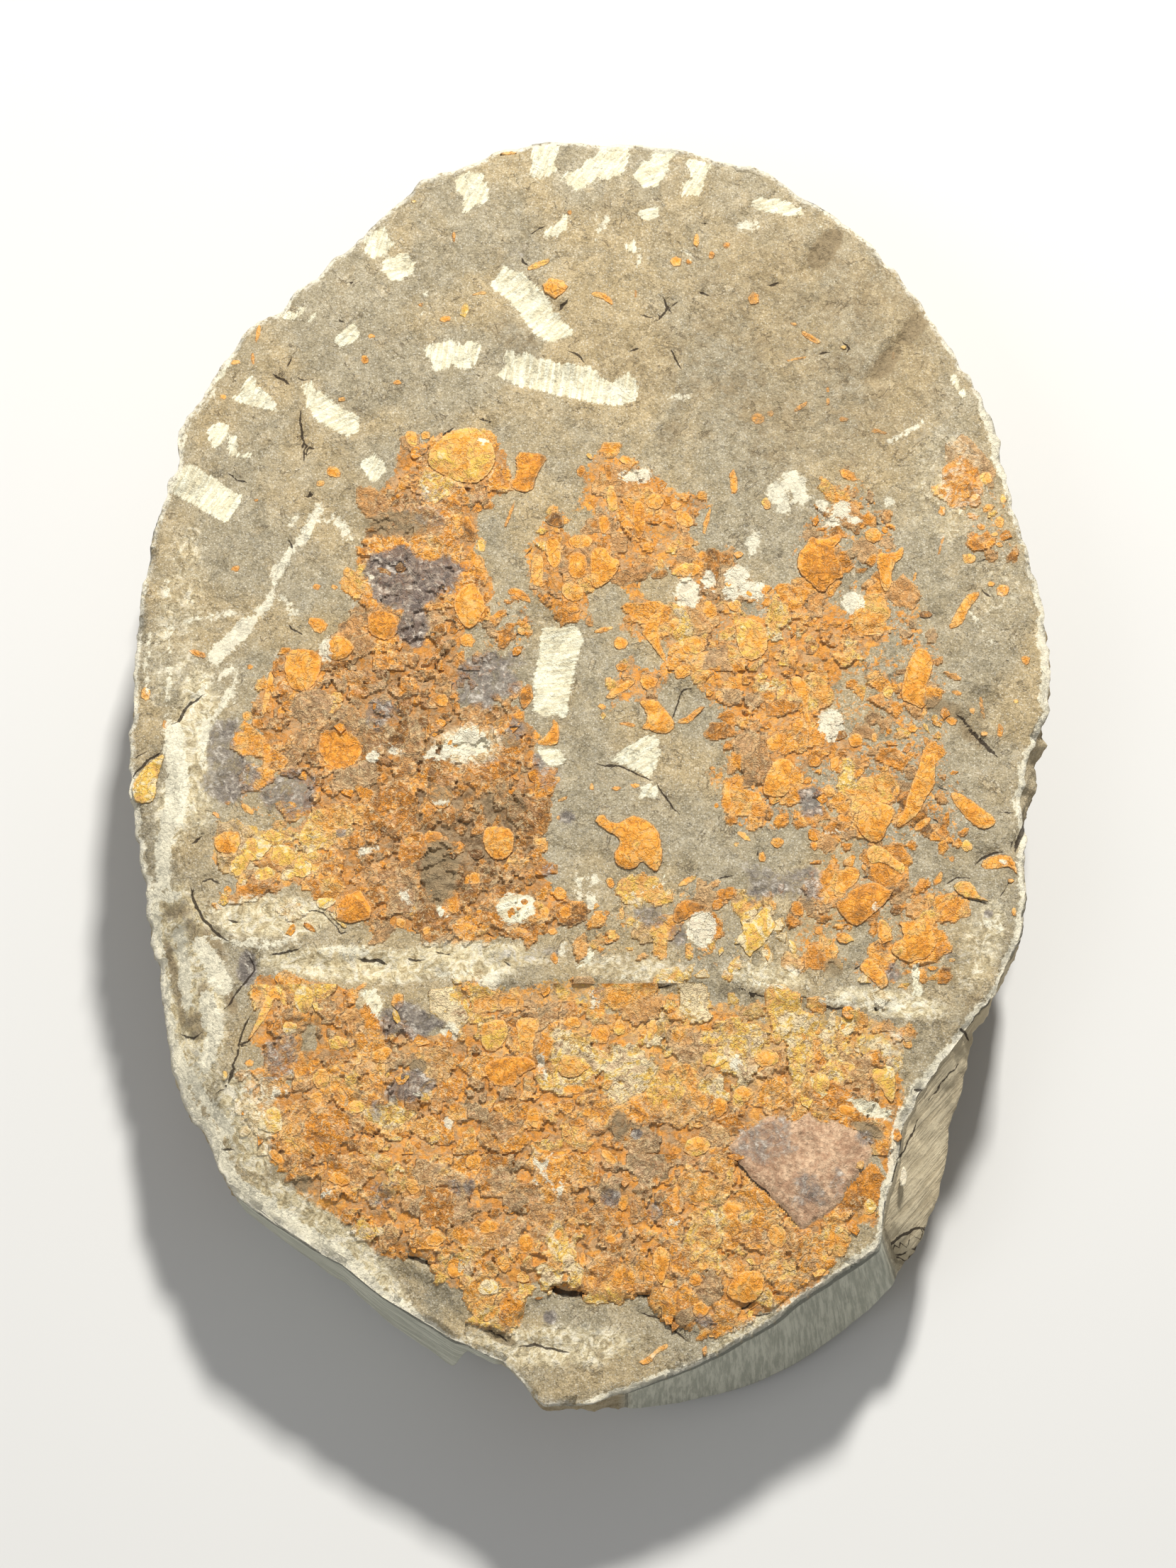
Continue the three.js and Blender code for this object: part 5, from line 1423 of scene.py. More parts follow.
@dataclass
class SiltstoneSlab:
    """The stone itself: one closed mesh of bedding face, broken sides and underside."""

    form: SlabForm
    marks: BedMarks
    cells_across: int = 216
    cells_along: int = 302
    wall_rows: int = 24
    under_rings: int = 9
    under_lump_size: float = 22.0
    under_lump_height: float = 1.6
    undercut_insets: tuple[float, float] = (8.0, 20.0)
    undercut_rise: float = 3.0
    streak_turn: float = 50.0

    def rim_numbers(self) -> Array:
        """Walks around the face's rim.

        Returns:
            Corner numbers, counter-clockwise from the grid's first corner.
        """
        n, m = self.cells_across, self.cells_along
        row = n + 1
        return np.concatenate([
            np.arange(n), n + row * np.arange(m), row * m + np.arange(n, 0, -1), row * np.arange(m, 0, -1)])

    def face_grid(self) -> tuple[Array, Array, Array]:
        """Builds the bedding face.

        Returns:
            Its corners, its faces and each corner's gap to the rim.
        """
        across, along = np.meshgrid(
            np.linspace(-1, 1, self.cells_across + 1), np.linspace(-1, 1, self.cells_along + 1))
        bearing, share = self.form.on_disc(across.ravel(), along.ravel())
        x, y, z, rim_gap = self.form.face_point(bearing, share)
        return np.stack([x, y, z], axis=1), grid_quads(self.cells_across + 1, self.cells_along + 1), rim_gap

    def underside(self, foot: Array, first: int) -> tuple[list[Array], list[tuple]]:
        """Rings and faces that close the slab underneath.

        Args:
            foot: corners of the foot's ring.
            first: number of the foot's first corner.

        Returns:
            Corners of each ring, the last holding the middle alone, and the faces.
        """
        rings, faces = [], []
        outer, outer_first, following = foot, first, first + len(foot)
        inset = self.form.edge(np.degrees(np.arctan2(foot[:, 1], foot[:, 0])), 5)
        shares = [0.985, 0.965] + list(np.linspace(0.92, 0.1, self.under_rings))
        for number, share in enumerate(shares):
            halved = number < 2
            kept = np.arange(0, len(outer), 2) if halved else np.arange(len(outer))
            if halved:
                foot, inset = foot[kept], inset[kept]
            ring = foot * [share, share, 1]
            rise = self.undercut_rise * smooth(*self.undercut_insets, inset)
            lift = self.form.foot_height + rise * share
            lumps = self.under_lump_height * self.form.coarse.at(
                ring[:, 0] / self.under_lump_size, ring[:, 1] / self.under_lump_size, 6.5)
            crumbs = 0.35 * self.form.fine.at(ring[:, 0] / 5, ring[:, 1] / 5, 6.5)
            flat = -self.form.belly_depth
            ring[:, 2] = np.maximum(0, flat + (lift - flat) * share ** 3 + lumps * (1 - share ** 8) + crumbs)
            count = len(ring)
            for k in range(count):
                after = (k + 1) % count
                if halved:
                    a, b = outer_first + 2 * k, outer_first + 2 * k + 1
                    c = outer_first + (2 * k + 2) % len(outer)
                    inner, beside = following + k, following + after
                    faces += [(a, inner, b), (b, inner, beside), (b, beside, c)]
                else:
                    faces.append((outer_first + k, following + k, following + after, outer_first + after))
            rings.append(ring)
            outer, outer_first, following = ring, following, following + count
        rings.append(np.array([[0.0, 0.0, 0.0]]))
        faces += [(outer_first + k, following, outer_first + (k + 1) % len(outer)) for k in range(len(outer))]
        return rings, faces

    def build(self) -> bpy.types.Object:
        """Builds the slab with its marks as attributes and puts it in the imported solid's place.

        Returns:
            The slab's object.
        """
        corners, faces, rim_gap = self.face_grid()
        rim = corners[self.rim_numbers()]
        bearing = bearing_of(rim[:, 0], rim[:, 1])
        walls, quads = [], []
        above = self.rim_numbers()
        following = len(corners)
        for row in range(1, self.wall_rows + 1):
            down = (row / self.wall_rows) ** 1.05
            x, y, z = self.form.side_point(bearing, np.full(bearing.shape, down), rim[:, 2])
            walls.append(np.stack([x, y, z], axis=1))
            here = following + np.arange(len(rim))
            quads.append(np.stack([above, here, np.roll(here, -1), np.roll(above, -1)], axis=1))
            above, following = here, following + len(rim)
        rings, under = self.underside(walls[-1], int(above[0]))
        every = np.concatenate([corners, *walls, *rings])
        low, high = (np.array(corner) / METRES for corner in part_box(STONE_NODE))
        every = np.clip(every, low + [0.02, 0.02, 0], high - 0.02)
        every[:, 2] = np.maximum(every[:, 2], 0)
        all_faces = [*faces.tolist(), *np.concatenate(quads).tolist(), *under]
        made = mesh_object("siltstone_slab", every, all_faces, self.attributes(every, len(corners), rim_gap))
        made.data.shade_smooth()
        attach(made, BODY)
        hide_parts(STONE_NODE)
        return made

    def attributes(self, every: Array, on_face: int, rim_gap: Array) -> dict[str, Array]:
        """Marks of the face and zones of the sides for every corner of the slab.

        Args:
            every: corners of the whole mesh.
            on_face: how many of them, from the first, lie on the bedding face.
            rim_gap: gap to the rim of each corner of the face.

        Returns:
            Name of each attribute and its values.
        """
        total = len(every)
        found = self.marks.fields(every[:on_face, 0], every[:on_face, 1])
        away = {"bruise": -4.0, "chalk": -4.0, "crack_gap": 9.0}
        spread = {}
        for key, values in found.items():
            whole = np.full((total, *values.shape[1:]), away.get(key, 0.0))
            whole[:on_face] = values
            spread[key] = whole
        bearing = np.arctan2(every[:, 1], every[:, 0])
        side = np.ones(total)
        side[:on_face] = 1 - np.clip(rim_gap / 2.2, 0, 1)
        spread["side"] = side
        sawn_left = self.form.band(bearing, self.form.sawn_left) * (side >= 1)
        sawn_right = self.form.band(bearing, self.form.sawn_right) * (side >= 1)
        slope = math.radians(self.streak_turn)
        across = every[:, 1] * math.cos(slope) - every[:, 0] * math.sin(slope)
        along = every[:, 0] * math.cos(slope) + every[:, 1] * math.sin(slope)
        streaks = np.stack([across, 0.07 * along, 0.2 * every[:, 2]], axis=1)
        bevel = self.form.band(bearing, self.form.bevel_run) * (side >= 1) * smooth(24.0, 30.0, every[:, 2])
        spread["sawn"] = np.clip(sawn_left + sawn_right, 0, 1)
        spread["bevel"] = bevel
        reach = np.hypot(every[:, 0], every[:, 1])
        around = 150 * bearing
        planed = np.stack([0.05 * around, every[:, 2], 0.2 * reach], axis=1)
        upright = np.stack([around, 0.08 * every[:, 2], 0.1 * reach], axis=1)
        planed[sawn_right > 0.5] = upright[sawn_right > 0.5]
        planed[bevel > 0.5] = streaks[bevel > 0.5]
        beside = self.form.crack_field(every[:, 0], every[:, 1])
        for key, values in zip(("crack_gap", "crack_half"), beside):
            spread[key] = np.where(bevel > 0.5, values, spread[key])
        off_face = np.arange(total) >= on_face
        spread["comb"] = np.where(off_face[:, None], planed, spread["comb"])
        return spread


@dataclass
class ShellFragments:
    """Broken shell lying on the bed: thin closed plates with a crisp edge and a low dome."""

    form: SlabForm
    marks: BedMarks
    name: str
    low_y: float
    high_y: float
    edge_lift: float = 0.32
    edge_run: float = 0.22
    sunk: float = 0.35
    point_gap: float = 0.6
    roughness: float = 0.16
    sharp_angle: float = 28.0
    rng: np.random.Generator = field(default_factory=lambda: np.random.default_rng(97))

    def rounded(self, outline: Array, times: int) -> Array:
        """Rounds a closed outline.

        Args:
            outline: its corners.
            times: how often they are cut.

        Returns:
            Corners of the rounded outline.
        """
        for _ in range(times):
            ahead = np.roll(outline, -1, axis=0)
            cuts = [0.75 * outline + 0.25 * ahead, 0.25 * outline + 0.75 * ahead]
            outline = np.stack(cuts, axis=1).reshape(-1, 2)
        return outline

    def broken_oval(self, x: float, y: float, across: float, along: float, turn: float) -> Array:
        """Outline of an irregular plate that fills an oval.

        Args:
            x, y: the oval's middle.
            across, along: its radii.
            turn: its turn in degrees.

        Returns:
            Corners of the outline, counter-clockwise.
        """
        count = int(self.rng.integers(7, 12))
        steps = np.cumsum(self.rng.uniform(0.6, 1.4, count))
        angles = 2 * math.pi * steps / steps[-1]
        reach = self.rng.uniform(0.8, 1.12, count)
        u, v = across * reach * np.cos(angles), along * reach * np.sin(angles)
        c, s = math.cos(math.radians(turn)), math.sin(math.radians(turn))
        return np.stack([x + u * c - v * s, y + u * s + v * c], axis=1)

    def evenly(self, outline: Array) -> Array:
        """Points along a closed outline, about half a millimetre apart, with small nicks.

        Args:
            outline: its corners.

        Returns:
            The points.
        """
        closed = np.vstack([outline, outline[:1]])
        run = np.concatenate([[0], np.cumsum(np.hypot(*np.diff(closed, axis=0).T))])
        count = max(10, int(run[-1] / (0.8 * self.point_gap)))
        at = np.linspace(0, run[-1], count, endpoint=False)
        points = np.stack([np.interp(at, run, closed[:, 0]), np.interp(at, run, closed[:, 1])], axis=1)
        return points + self.rng.uniform(-0.13, 0.13, points.shape)

    def plate(self, outline: Array, tint: float, dome: float) -> tuple[Array, list, Array, Array] | None:
        """Builds one fragment.

        Args:
            outline: its outline.
            tint: its shade.
            dome: how far its middle stands above its edge; less than 0 for a dished one.

        Returns:
            Corners, faces, shades and edge gaps, or None where it is too small to build.
        """
        area = np.sum(outline[:, 0] * np.roll(outline[:, 1], -1) - np.roll(outline[:, 0], -1) * outline[:, 1])
        ring = self.evenly(outline if area > 0 else outline[::-1])
        low, high = ring.min(axis=0), ring.max(axis=0)
        lattice = np.meshgrid(*(np.arange(low[k], high[k], self.point_gap) for k in (0, 1)))
        inner = np.stack(lattice, axis=-1).reshape(-1, 2)
        inner = inner + self.rng.uniform(-0.2, 0.2, inner.shape)
        deep = inside_gap(inner[:, 0], inner[:, 1], ring.tolist())
        inner = inner[deep > self.edge_run * 1.25]
        tangent = np.roll(ring, -1, axis=0) - np.roll(ring, 1, axis=0)
        inward = np.stack([-tangent[:, 1], tangent[:, 0]], axis=1)
        step = ring + self.edge_run * inward / np.maximum(np.hypot(*inward.T), 1e-9)[:, None]
        good = inside_gap(step[:, 0], step[:, 1], ring.tolist()) > 0.8 * self.edge_run
        points = np.vstack([ring, step[good], inner])
        count = len(ring)
        result = delaunay_2d_cdt([Vector(p) for p in points.tolist()], [], [list(range(count))], 1, 1e-5)
        if len(result[0]) != len(points) or not result[2]:
            return None
        gap = np.zeros(len(points))
        gap[count:] = inside_gap(points[count:, 0], points[count:, 1], ring.tolist())
        deepest = max(float(gap.max()), self.edge_run)
        share = np.clip(gap / deepest, 0, 1)
        lift = np.where(np.arange(len(points)) < count, -0.06, min(self.edge_lift, 0.06 + 0.07 * deepest))
        lift = lift + dome * min(0.6, 0.2 * deepest) * (1 - (1 - share) ** 2)
        x, y = points.T
        lift += np.where(gap > 0, self.roughness * self.form.fine.at(x / 1.1, y / 1.1, 12.5), 0)
        bed = self.form.surface(x, y)[0]
        settled = 0.7 * bed + 0.3 * np.mean(bed)
        z = np.minimum(np.where(gap > 0, np.maximum(settled, bed - 0.1), bed) + lift, self.form.shell_top)
        base = np.stack([ring[:, 0], ring[:, 1], bed[:count] - self.sunk - 0.3], axis=1)
        corners = np.vstack([np.stack([x, y, z], axis=1), base])
        first = len(points)
        faces = [tuple(one) for one in result[2]]
        faces += [(k, first + k, first + (k + 1) % count, (k + 1) % count) for k in range(count)]
        bottom = delaunay_2d_cdt([Vector(p) for p in ring.tolist()], [], [list(range(count))], 1, 1e-5)
        if len(bottom[0]) != count:
            return None
        faces += [tuple(first + k for k in reversed(one)) for one in bottom[2]]
        gaps = np.concatenate([gap, np.full(count, -0.3)])
        return corners, faces, np.full(len(corners), tint), gaps

    def outlines(self) -> list[tuple[Array, float, float]]:
        """Finds the fragments whose middles lie in this stretch of the bed.

        Returns:
            Outline, shade and dome of each.
        """
        found = []
        for tint, table in OVAL_SHELLS.items():
            for x, y, across, along, turn, dome in rows(table):
                if self.low_y <= y < self.high_y:
                    found.append((self.broken_oval(x, y, across, along, turn), tint.value, dome))
        for tint, table in OUTLINED_SHELLS.items():
            for dome, outline in lines(table, 1):
                corners = np.array(outline)
                if self.low_y <= corners[:, 1].mean() < self.high_y:
                    found.append((self.rounded(corners, 1), tint.value, dome))
        return found

    def build(self) -> bpy.types.Object:
        """Joins the fragments into one piece.

        Returns:
            The piece.
        """
        corners, faces, tints, gaps, following = [], [], [], [], 0
        for outline, tint, dome in self.outlines():
            made = self.plate(np.asarray(outline, float), tint, dome)
            if made is None:
                continue
            corners.append(made[0])
            faces += [tuple(following + k for k in one) for one in made[1]]
            tints.append(made[2])
            gaps.append(made[3])
            following += len(made[0])
        every = np.concatenate(corners)
        fields = self.marks.fields(every[:, 0], every[:, 1])
        attributes = {key: fields[key] for key in (*LAID_MARKS, "comb")}
        attributes["bruise"] = attributes["bruise"] - 1.5
        attributes.update({"tint": np.concatenate(tints), "edge_gap": np.concatenate(gaps)})
        piece = mesh_object(self.name, every, faces, attributes)
        piece.data.shade_smooth()
        piece.data.set_sharp_from_angle(angle=math.radians(self.sharp_angle))
        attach(piece, BODY)
        return piece


def beside_shells(x: Array, y: Array) -> Array:
    """Gap from points to the nearest single shell.

    Args:
        x, y: the points.

    Returns:
        The gap for each point, negative within a shell and never over 9.
    """
    gap = np.full(x.shape, 9.0)
    for *oval, _ in (row for table in OVAL_SHELLS.values() for row in rows(table)):
        near = np.hypot(x - oval[0], y - oval[1]) < max(oval[2:4]) + 2
        gap[near] = np.minimum(gap[near], (oval_share(x[near], y[near], oval) - 1) * min(oval[2:4]))
    for _, outline in (row for table in OUTLINED_SHELLS.values() for row in lines(table, 1)):
        corners = np.array(outline)
        middle = corners.mean(axis=0)
        near = np.hypot(x - middle[0], y - middle[1]) < np.hypot(*(corners - middle).T).max() + 2
        gap[near] = np.minimum(gap[near], -inside_gap(x[near], y[near], outline))
    return gap


@dataclass
class ShellCrust:
    """Matted crust of crushed shell: broken plates that overlap, as one thin closed sheet."""

    form: SlabForm
    marks: BedMarks
    name: str
    low_y: float
    high_y: float
    seed: int
    cell: float = 0.5
    plates_per_mm: float = 0.15
    least_radius: float = 1.3
    most_radius: float = 7.0
    stony_share: float = 0.22
    large_last: float = 0.09
    thickness: float = 0.5
    sharp_angle: float = 32.0

    def lay_plates(self, x: Array, y: Array) -> dict[str, Array]:
        """Lays plates over each other until they cover the bed as thickly as they should.

        Args:
            x, y: grid of points, each of shape (rows, columns).

        Returns:
            For each point its lift above the bed, tint, stoniness, gap to the nearest plate
            edge and whether any plate lies there.
        """
        rng = np.random.default_rng(self.seed)
        count = int(self.plates_per_mm * (x.max() - x.min()) * (y.max() - y.min()))
        middle_x, middle_y = rng.uniform(x.min(), x.max(), count), rng.uniform(y.min(), y.max(), count)
        cover, shift = self.form.cover(middle_x, middle_y)
        kept = rng.random(count) < cover
        radius = self.least_radius * (1 - 0.97 * rng.random(count)) ** -0.5
        radius = np.minimum(radius, self.most_radius) * (1.2 - 0.15 * cover)
        lift, tint, stony = np.zeros(x.shape), np.full(x.shape, 0.4), np.zeros(x.shape)
        edge, laid = np.full(x.shape, 3.0), np.zeros(x.shape, bool)
        patch = self.form.coarse.layered(middle_x, middle_y, 14.0, 2)
        order = np.argsort(rng.random(count) + self.large_last * radius)
        for k in order[kept[order]]:
            size = radius[k]
            aspect, turn, phase, bite = rng.uniform((0.45, 0, 0, 0), (1, 6.28, 6.28, 6.28))
            level, dome, slope_x, slope_y = rng.uniform((0, -0.5, -1, -1), (0.18, 0.5, 1, 1))
            breaks = rng.uniform((0, 0.2), (6.28, 1.15), (int(rng.integers(1, 5)), 2))
            shade, stoniness = rng.normal(0.5, 0.11), rng.random()
            span = int(1.25 * size / self.cell) + 3
            row, column = (int((place[k] - corner.flat[0]) / self.cell) for place, corner in (
                (middle_y, y), (middle_x, x)))
            part = np.s_[max(row - span, 0):row + span + 1, max(column - span, 0):column + span + 1]
            across, along = x[part] - middle_x[k], y[part] - middle_y[k]
            u = (across * math.cos(turn) + along * math.sin(turn)) / size
            v = (along * math.cos(turn) - across * math.sin(turn)) / (size * aspect)
            angle = np.arctan2(v, u)
            out = np.hypot(u, v) * (1 + 0.1 * np.sin(3 * angle + phase) + 0.07 * np.sin(7 * angle + bite))
            for toward, cut in breaks:
                out = np.maximum(out, (u * math.cos(toward) + v * math.sin(toward)) / cut)
            depth = (1 - out) * size * (0.5 + 0.5 * aspect)
            inside = depth > 0
            rise = level + min(0.4, 0.12 * size) * (dome * (1 - out ** 2) + 0.5 * (slope_x * u + slope_y * v))
            rise = rise * (0.35 + 0.65 * cover[k] ** 2)
            lift[part] = np.where(inside, 0.3 * lift[part] + rise, lift[part])
            tint[part] = np.where(inside, shade + shift[k] + 0.42 * patch[k], tint[part])
            stone_share = 0.0 if stoniness > self.stony_share - 0.9 * patch[k] else 0.35 + 1.6 * stoniness
            stony[part] = np.where(inside, stone_share, stony[part])
            edge[part] = np.where(inside, depth, np.minimum(edge[part], np.maximum(-depth, 0)))
            laid[part] |= inside
        return {"lift": lift, "tint": tint, "stony": np.clip(stony, 0, 1), "edge_gap": edge, "laid": laid}

    def build(self) -> bpy.types.Object:
        """Builds the sheet.

        Returns:
            The piece.
        """
        across = np.arange(-self.form.half_width, self.form.half_width, self.cell)
        along = np.arange(self.low_y, self.high_y + self.cell / 2, self.cell)
        x, y = np.meshgrid(across, along)
        laid = self.lay_plates(x, y)
        bed, rim_gap = self.form.surface(x, y)
        covered = laid["laid"] & (rim_gap > 2.5) & (self.form.plate(x, y) < -0.3)
        jitter = self.form.fine.at(x / 0.8, y / 0.8, 3.5)
        thick = 0.1 + np.maximum(laid["lift"], 0) + 0.06 * jitter
        thick += self.form.wrinkles(x, y) * (0.35 + 0.65 * self.form.cover(x, y)[0] ** 2)
        thick *= 0.1 + 0.9 * smooth(-0.6, 0.9, beside_shells(x, y))
        top = np.where(covered, bed + thick, bed - 0.3)
        top = np.minimum(top, self.form.shell_top - 0.15)
        some = covered[:-1, :-1] | covered[1:, :-1] | covered[:-1, 1:] | covered[1:, 1:]
        quads = grid_quads(len(across), len(along))[some.ravel()]
        used, numbered = np.unique(quads, return_inverse=True)
        quads = numbered.reshape(quads.shape)
        total = len(used)
        sides = np.concatenate([quads[:, [k, (k + 1) % 4]] for k in range(4)])
        key = sides.min(axis=1) * total + sides.max(axis=1)
        _, index, times = np.unique(key, return_index=True, return_counts=True)
        border = sides[index[times == 1]]
        walls = np.stack([border[:, 1], border[:, 0], border[:, 0] + total, border[:, 1] + total], axis=1)
        faces = np.concatenate([quads, quads[:, ::-1] + total, walls])
        flat_x, flat_y = x.ravel()[used], y.ravel()[used]
        upper = np.stack([flat_x, flat_y, top.ravel()[used]], axis=1)
        lower = np.stack([flat_x, flat_y, bed.ravel()[used] - self.thickness], axis=1)
        fields = self.marks.fields(flat_x, flat_y)
        fields.update({key: laid[key].ravel()[used] for key in ("tint", "stony", "edge_gap")})
        kept = ("tint", "stony", "edge_gap", "cover", "comb", *LAID_MARKS)
        piece = mesh_object(self.name, np.concatenate([upper, lower]), faces, {
            key: np.concatenate([fields[key]] * 2) for key in kept})
        piece.data.shade_smooth()
        piece.data.set_sharp_from_angle(angle=math.radians(self.sharp_angle))
        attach(piece, BODY)
        return piece


@dataclass
class ShellHash:
    """Crushed shell: thousands of small chips scattered over one stretch of the bed."""

    form: SlabForm
    name: str
    low_y: float
    high_y: float
    seed: int
    finish: bpy.types.Material
    cell: float = 1.6
    per_square_metre: float = 26000.0
    tilt: float = 0.1
    least_scale: float = 0.7
    most_scale: float = 2.2
    tint_spread: float = 0.3

    def chip_shapes(self) -> bpy.types.Collection:
        """Makes the few irregular chips that are scattered.

        Returns:
            A collection of the chips, each of a few dozen faces.
        """
        rng = np.random.default_rng(self.seed)
        shapes = bpy.data.collections.new(f"{self.name}_chips")
        for number in range(10):
            count = int(rng.integers(5, 9))
            angles = 2 * math.pi * (np.arange(count) + rng.uniform(-0.3, 0.3, count)) / count
            reach = rng.uniform(0.65, 1.2, count)
            slim = rng.uniform(0.45, 1.0)
            x, y = reach * np.cos(angles), slim * reach * np.sin(angles)
            thick = rng.uniform(0.1, 0.2)
            top = np.stack([x, y, np.full(count, thick)], axis=1)
            base = np.stack([1.05 * x, 1.05 * y, np.full(count, -0.5)], axis=1)
            middle = [[0.0, 0.0, thick + rng.uniform(-0.04, 0.06)]]
            turns = [(k, (k + 1) % count) for k in range(count)]
            faces = [(k, after, 2 * count) for k, after in turns]
            faces += [(k, count + k, count + after, after) for k, after in turns]
            faces.append(tuple(range(2 * count - 1, count - 1, -1)))
            chip = mesh_object(f"{self.name}_chip_{number}", np.vstack([top, base, middle]), faces, {})
            bpy.context.scene.collection.objects.unlink(chip)
            shapes.objects.link(chip)
        return shapes

    def carrier(self) -> bpy.types.Object:
        """Makes the sheet of bed that the chips are scattered on.

        Returns:
            The sheet, with how thickly the chips lie at each corner.
        """
        across = np.arange(-self.form.half_width - 2, self.form.half_width + 2, self.cell)
        along = np.arange(self.low_y, self.high_y + 0.01, self.cell)
        x, y = (part.ravel() for part in np.meshgrid(across, along))
        cover, shift = self.form.cover(x, y)
        inside = self.form.reach(bearing_of(x, y)) - np.hypot(x, y)
        cover = cover * smooth(2.0, 3.5, inside) * (1 - smooth(-1.0, 0.5, self.form.plate(x, y)))
        cover = cover * smooth(0.2, 1.2, beside_shells(x, y))
        height = self.form.surface(x, y)[0]
        faces = grid_quads(len(across), len(along))
        used = cover[faces].max(axis=1) > 0.05
        return mesh_object(f"{self.name}_bed", np.stack([x, y, height], axis=1), faces[used], {
            "cover": cover, "shift": shift})

    def tree(self, shapes: bpy.types.Collection) -> bpy.types.NodeTree:
        """Builds the tree that scatters the chips.

        Args:
            shapes: the chips.

        Returns:
            The tree.
        """
        tree = bpy.data.node_groups.new(f"{self.name}_scatter", "GeometryNodeTree")
        tree.interface.new_socket("Geometry", in_out="INPUT", socket_type="NodeSocketGeometry")
        for label in ("Density", "Tilt", "Least scale", "Most scale"):
            tree.interface.new_socket(label, in_out="INPUT", socket_type="NodeSocketFloat")
        tree.interface.new_socket("Seed", in_out="INPUT", socket_type="NodeSocketInt")
        tree.interface.new_socket("Geometry", in_out="OUTPUT", socket_type="NodeSocketGeometry")
        lay = NodeTree(tree)
        given, result = lay.node("NodeGroupInput"), lay.node("NodeGroupOutput")
        cover, shift = (
            lay.node("GeometryNodeInputNamedAttribute", {"Name": name}, data_type="FLOAT").outputs[0]
            for name in ("cover", "shift"))
        spread = lay.node("GeometryNodeDistributePointsOnFaces", {
            "Mesh": given.outputs[0], "Density": lay.times(cover, given.outputs["Density"]),
            "Seed": given.outputs["Seed"]})
        tilt = given.outputs["Tilt"]
        back = lay.times(tilt, -1.0)
        turn = lay.node("FunctionNodeRandomValue", {
            0: lay.node("ShaderNodeCombineXYZ", {0: back, 1: back, 2: 0.0}).outputs[0],
            1: lay.node("ShaderNodeCombineXYZ", {0: tilt, 1: tilt, 2: 2 * math.pi}).outputs[0],
            "Seed": self.seed + 1}, data_type="FLOAT_VECTOR").outputs[0]
        scales = lay.node("FunctionNodeRandomValue", {"Seed": self.seed + 2}, data_type="FLOAT")
        lay.feed(scales.inputs[2], given.outputs["Least scale"])
        lay.feed(scales.inputs[3], given.outputs["Most scale"])
        shades = lay.node("FunctionNodeRandomValue", {
            2: -self.tint_spread, 3: self.tint_spread, "Seed": self.seed + 3}, data_type="FLOAT")
        tint = lay.total((shift, 1.0), (shades.outputs[1], 1.0), plus=0.5)
        tinted = lay.node("GeometryNodeStoreNamedAttribute", {
            "Geometry": spread.outputs["Points"], "Name": "tint", "Value": tint},
            data_type="FLOAT", domain="POINT")
        chips = lay.node("GeometryNodeCollectionInfo", {
            "Collection": shapes, "Separate Children": True, "Reset Children": True})
        placed = lay.node("GeometryNodeInstanceOnPoints", {
            "Points": tinted.outputs[0], "Instance": chips.outputs[0], "Pick Instance": True,
            "Rotation": turn, "Scale": scales.outputs[1]})
        real = lay.node("GeometryNodeRealizeInstances", {"Geometry": placed.outputs[0]})
        dressed = lay.node("GeometryNodeSetMaterial", {"Geometry": real.outputs[0], "Material": self.finish})
        lay.feed(result.inputs[0], dressed.outputs[0])
        return tree

    def build(self) -> bpy.types.Object:
        """Scatters the chips and keeps them as a plain mesh.

        Returns:
            The piece.
        """
        bed, shapes = self.carrier(), self.chip_shapes()
        tree = self.tree(shapes)
        scatter = bed.modifiers.new("scatter", "NODES")
        scatter.node_group = tree
        values = {"Density": self.per_square_metre, "Tilt": self.tilt, "Least scale": self.least_scale,
                  "Most scale": self.most_scale, "Seed": self.seed}
        for item in tree.interface.items_tree:
            if item.in_out == "INPUT" and item.name in values:
                scatter[item.identifier] = values[item.name]
        ready = bed.evaluated_get(bpy.context.evaluated_depsgraph_get())
        mesh = bpy.data.meshes.new_from_object(ready)
        mesh.name = self.name
        piece = bpy.data.objects.new(self.name, mesh)
        bpy.context.scene.collection.objects.link(piece)
        bed.modifiers.clear()
        bpy.data.objects.remove(bed)
        for chip in list(shapes.objects):
            bpy.data.objects.remove(chip)
        bpy.data.collections.remove(shapes)
        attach(piece, BODY)
        return piece


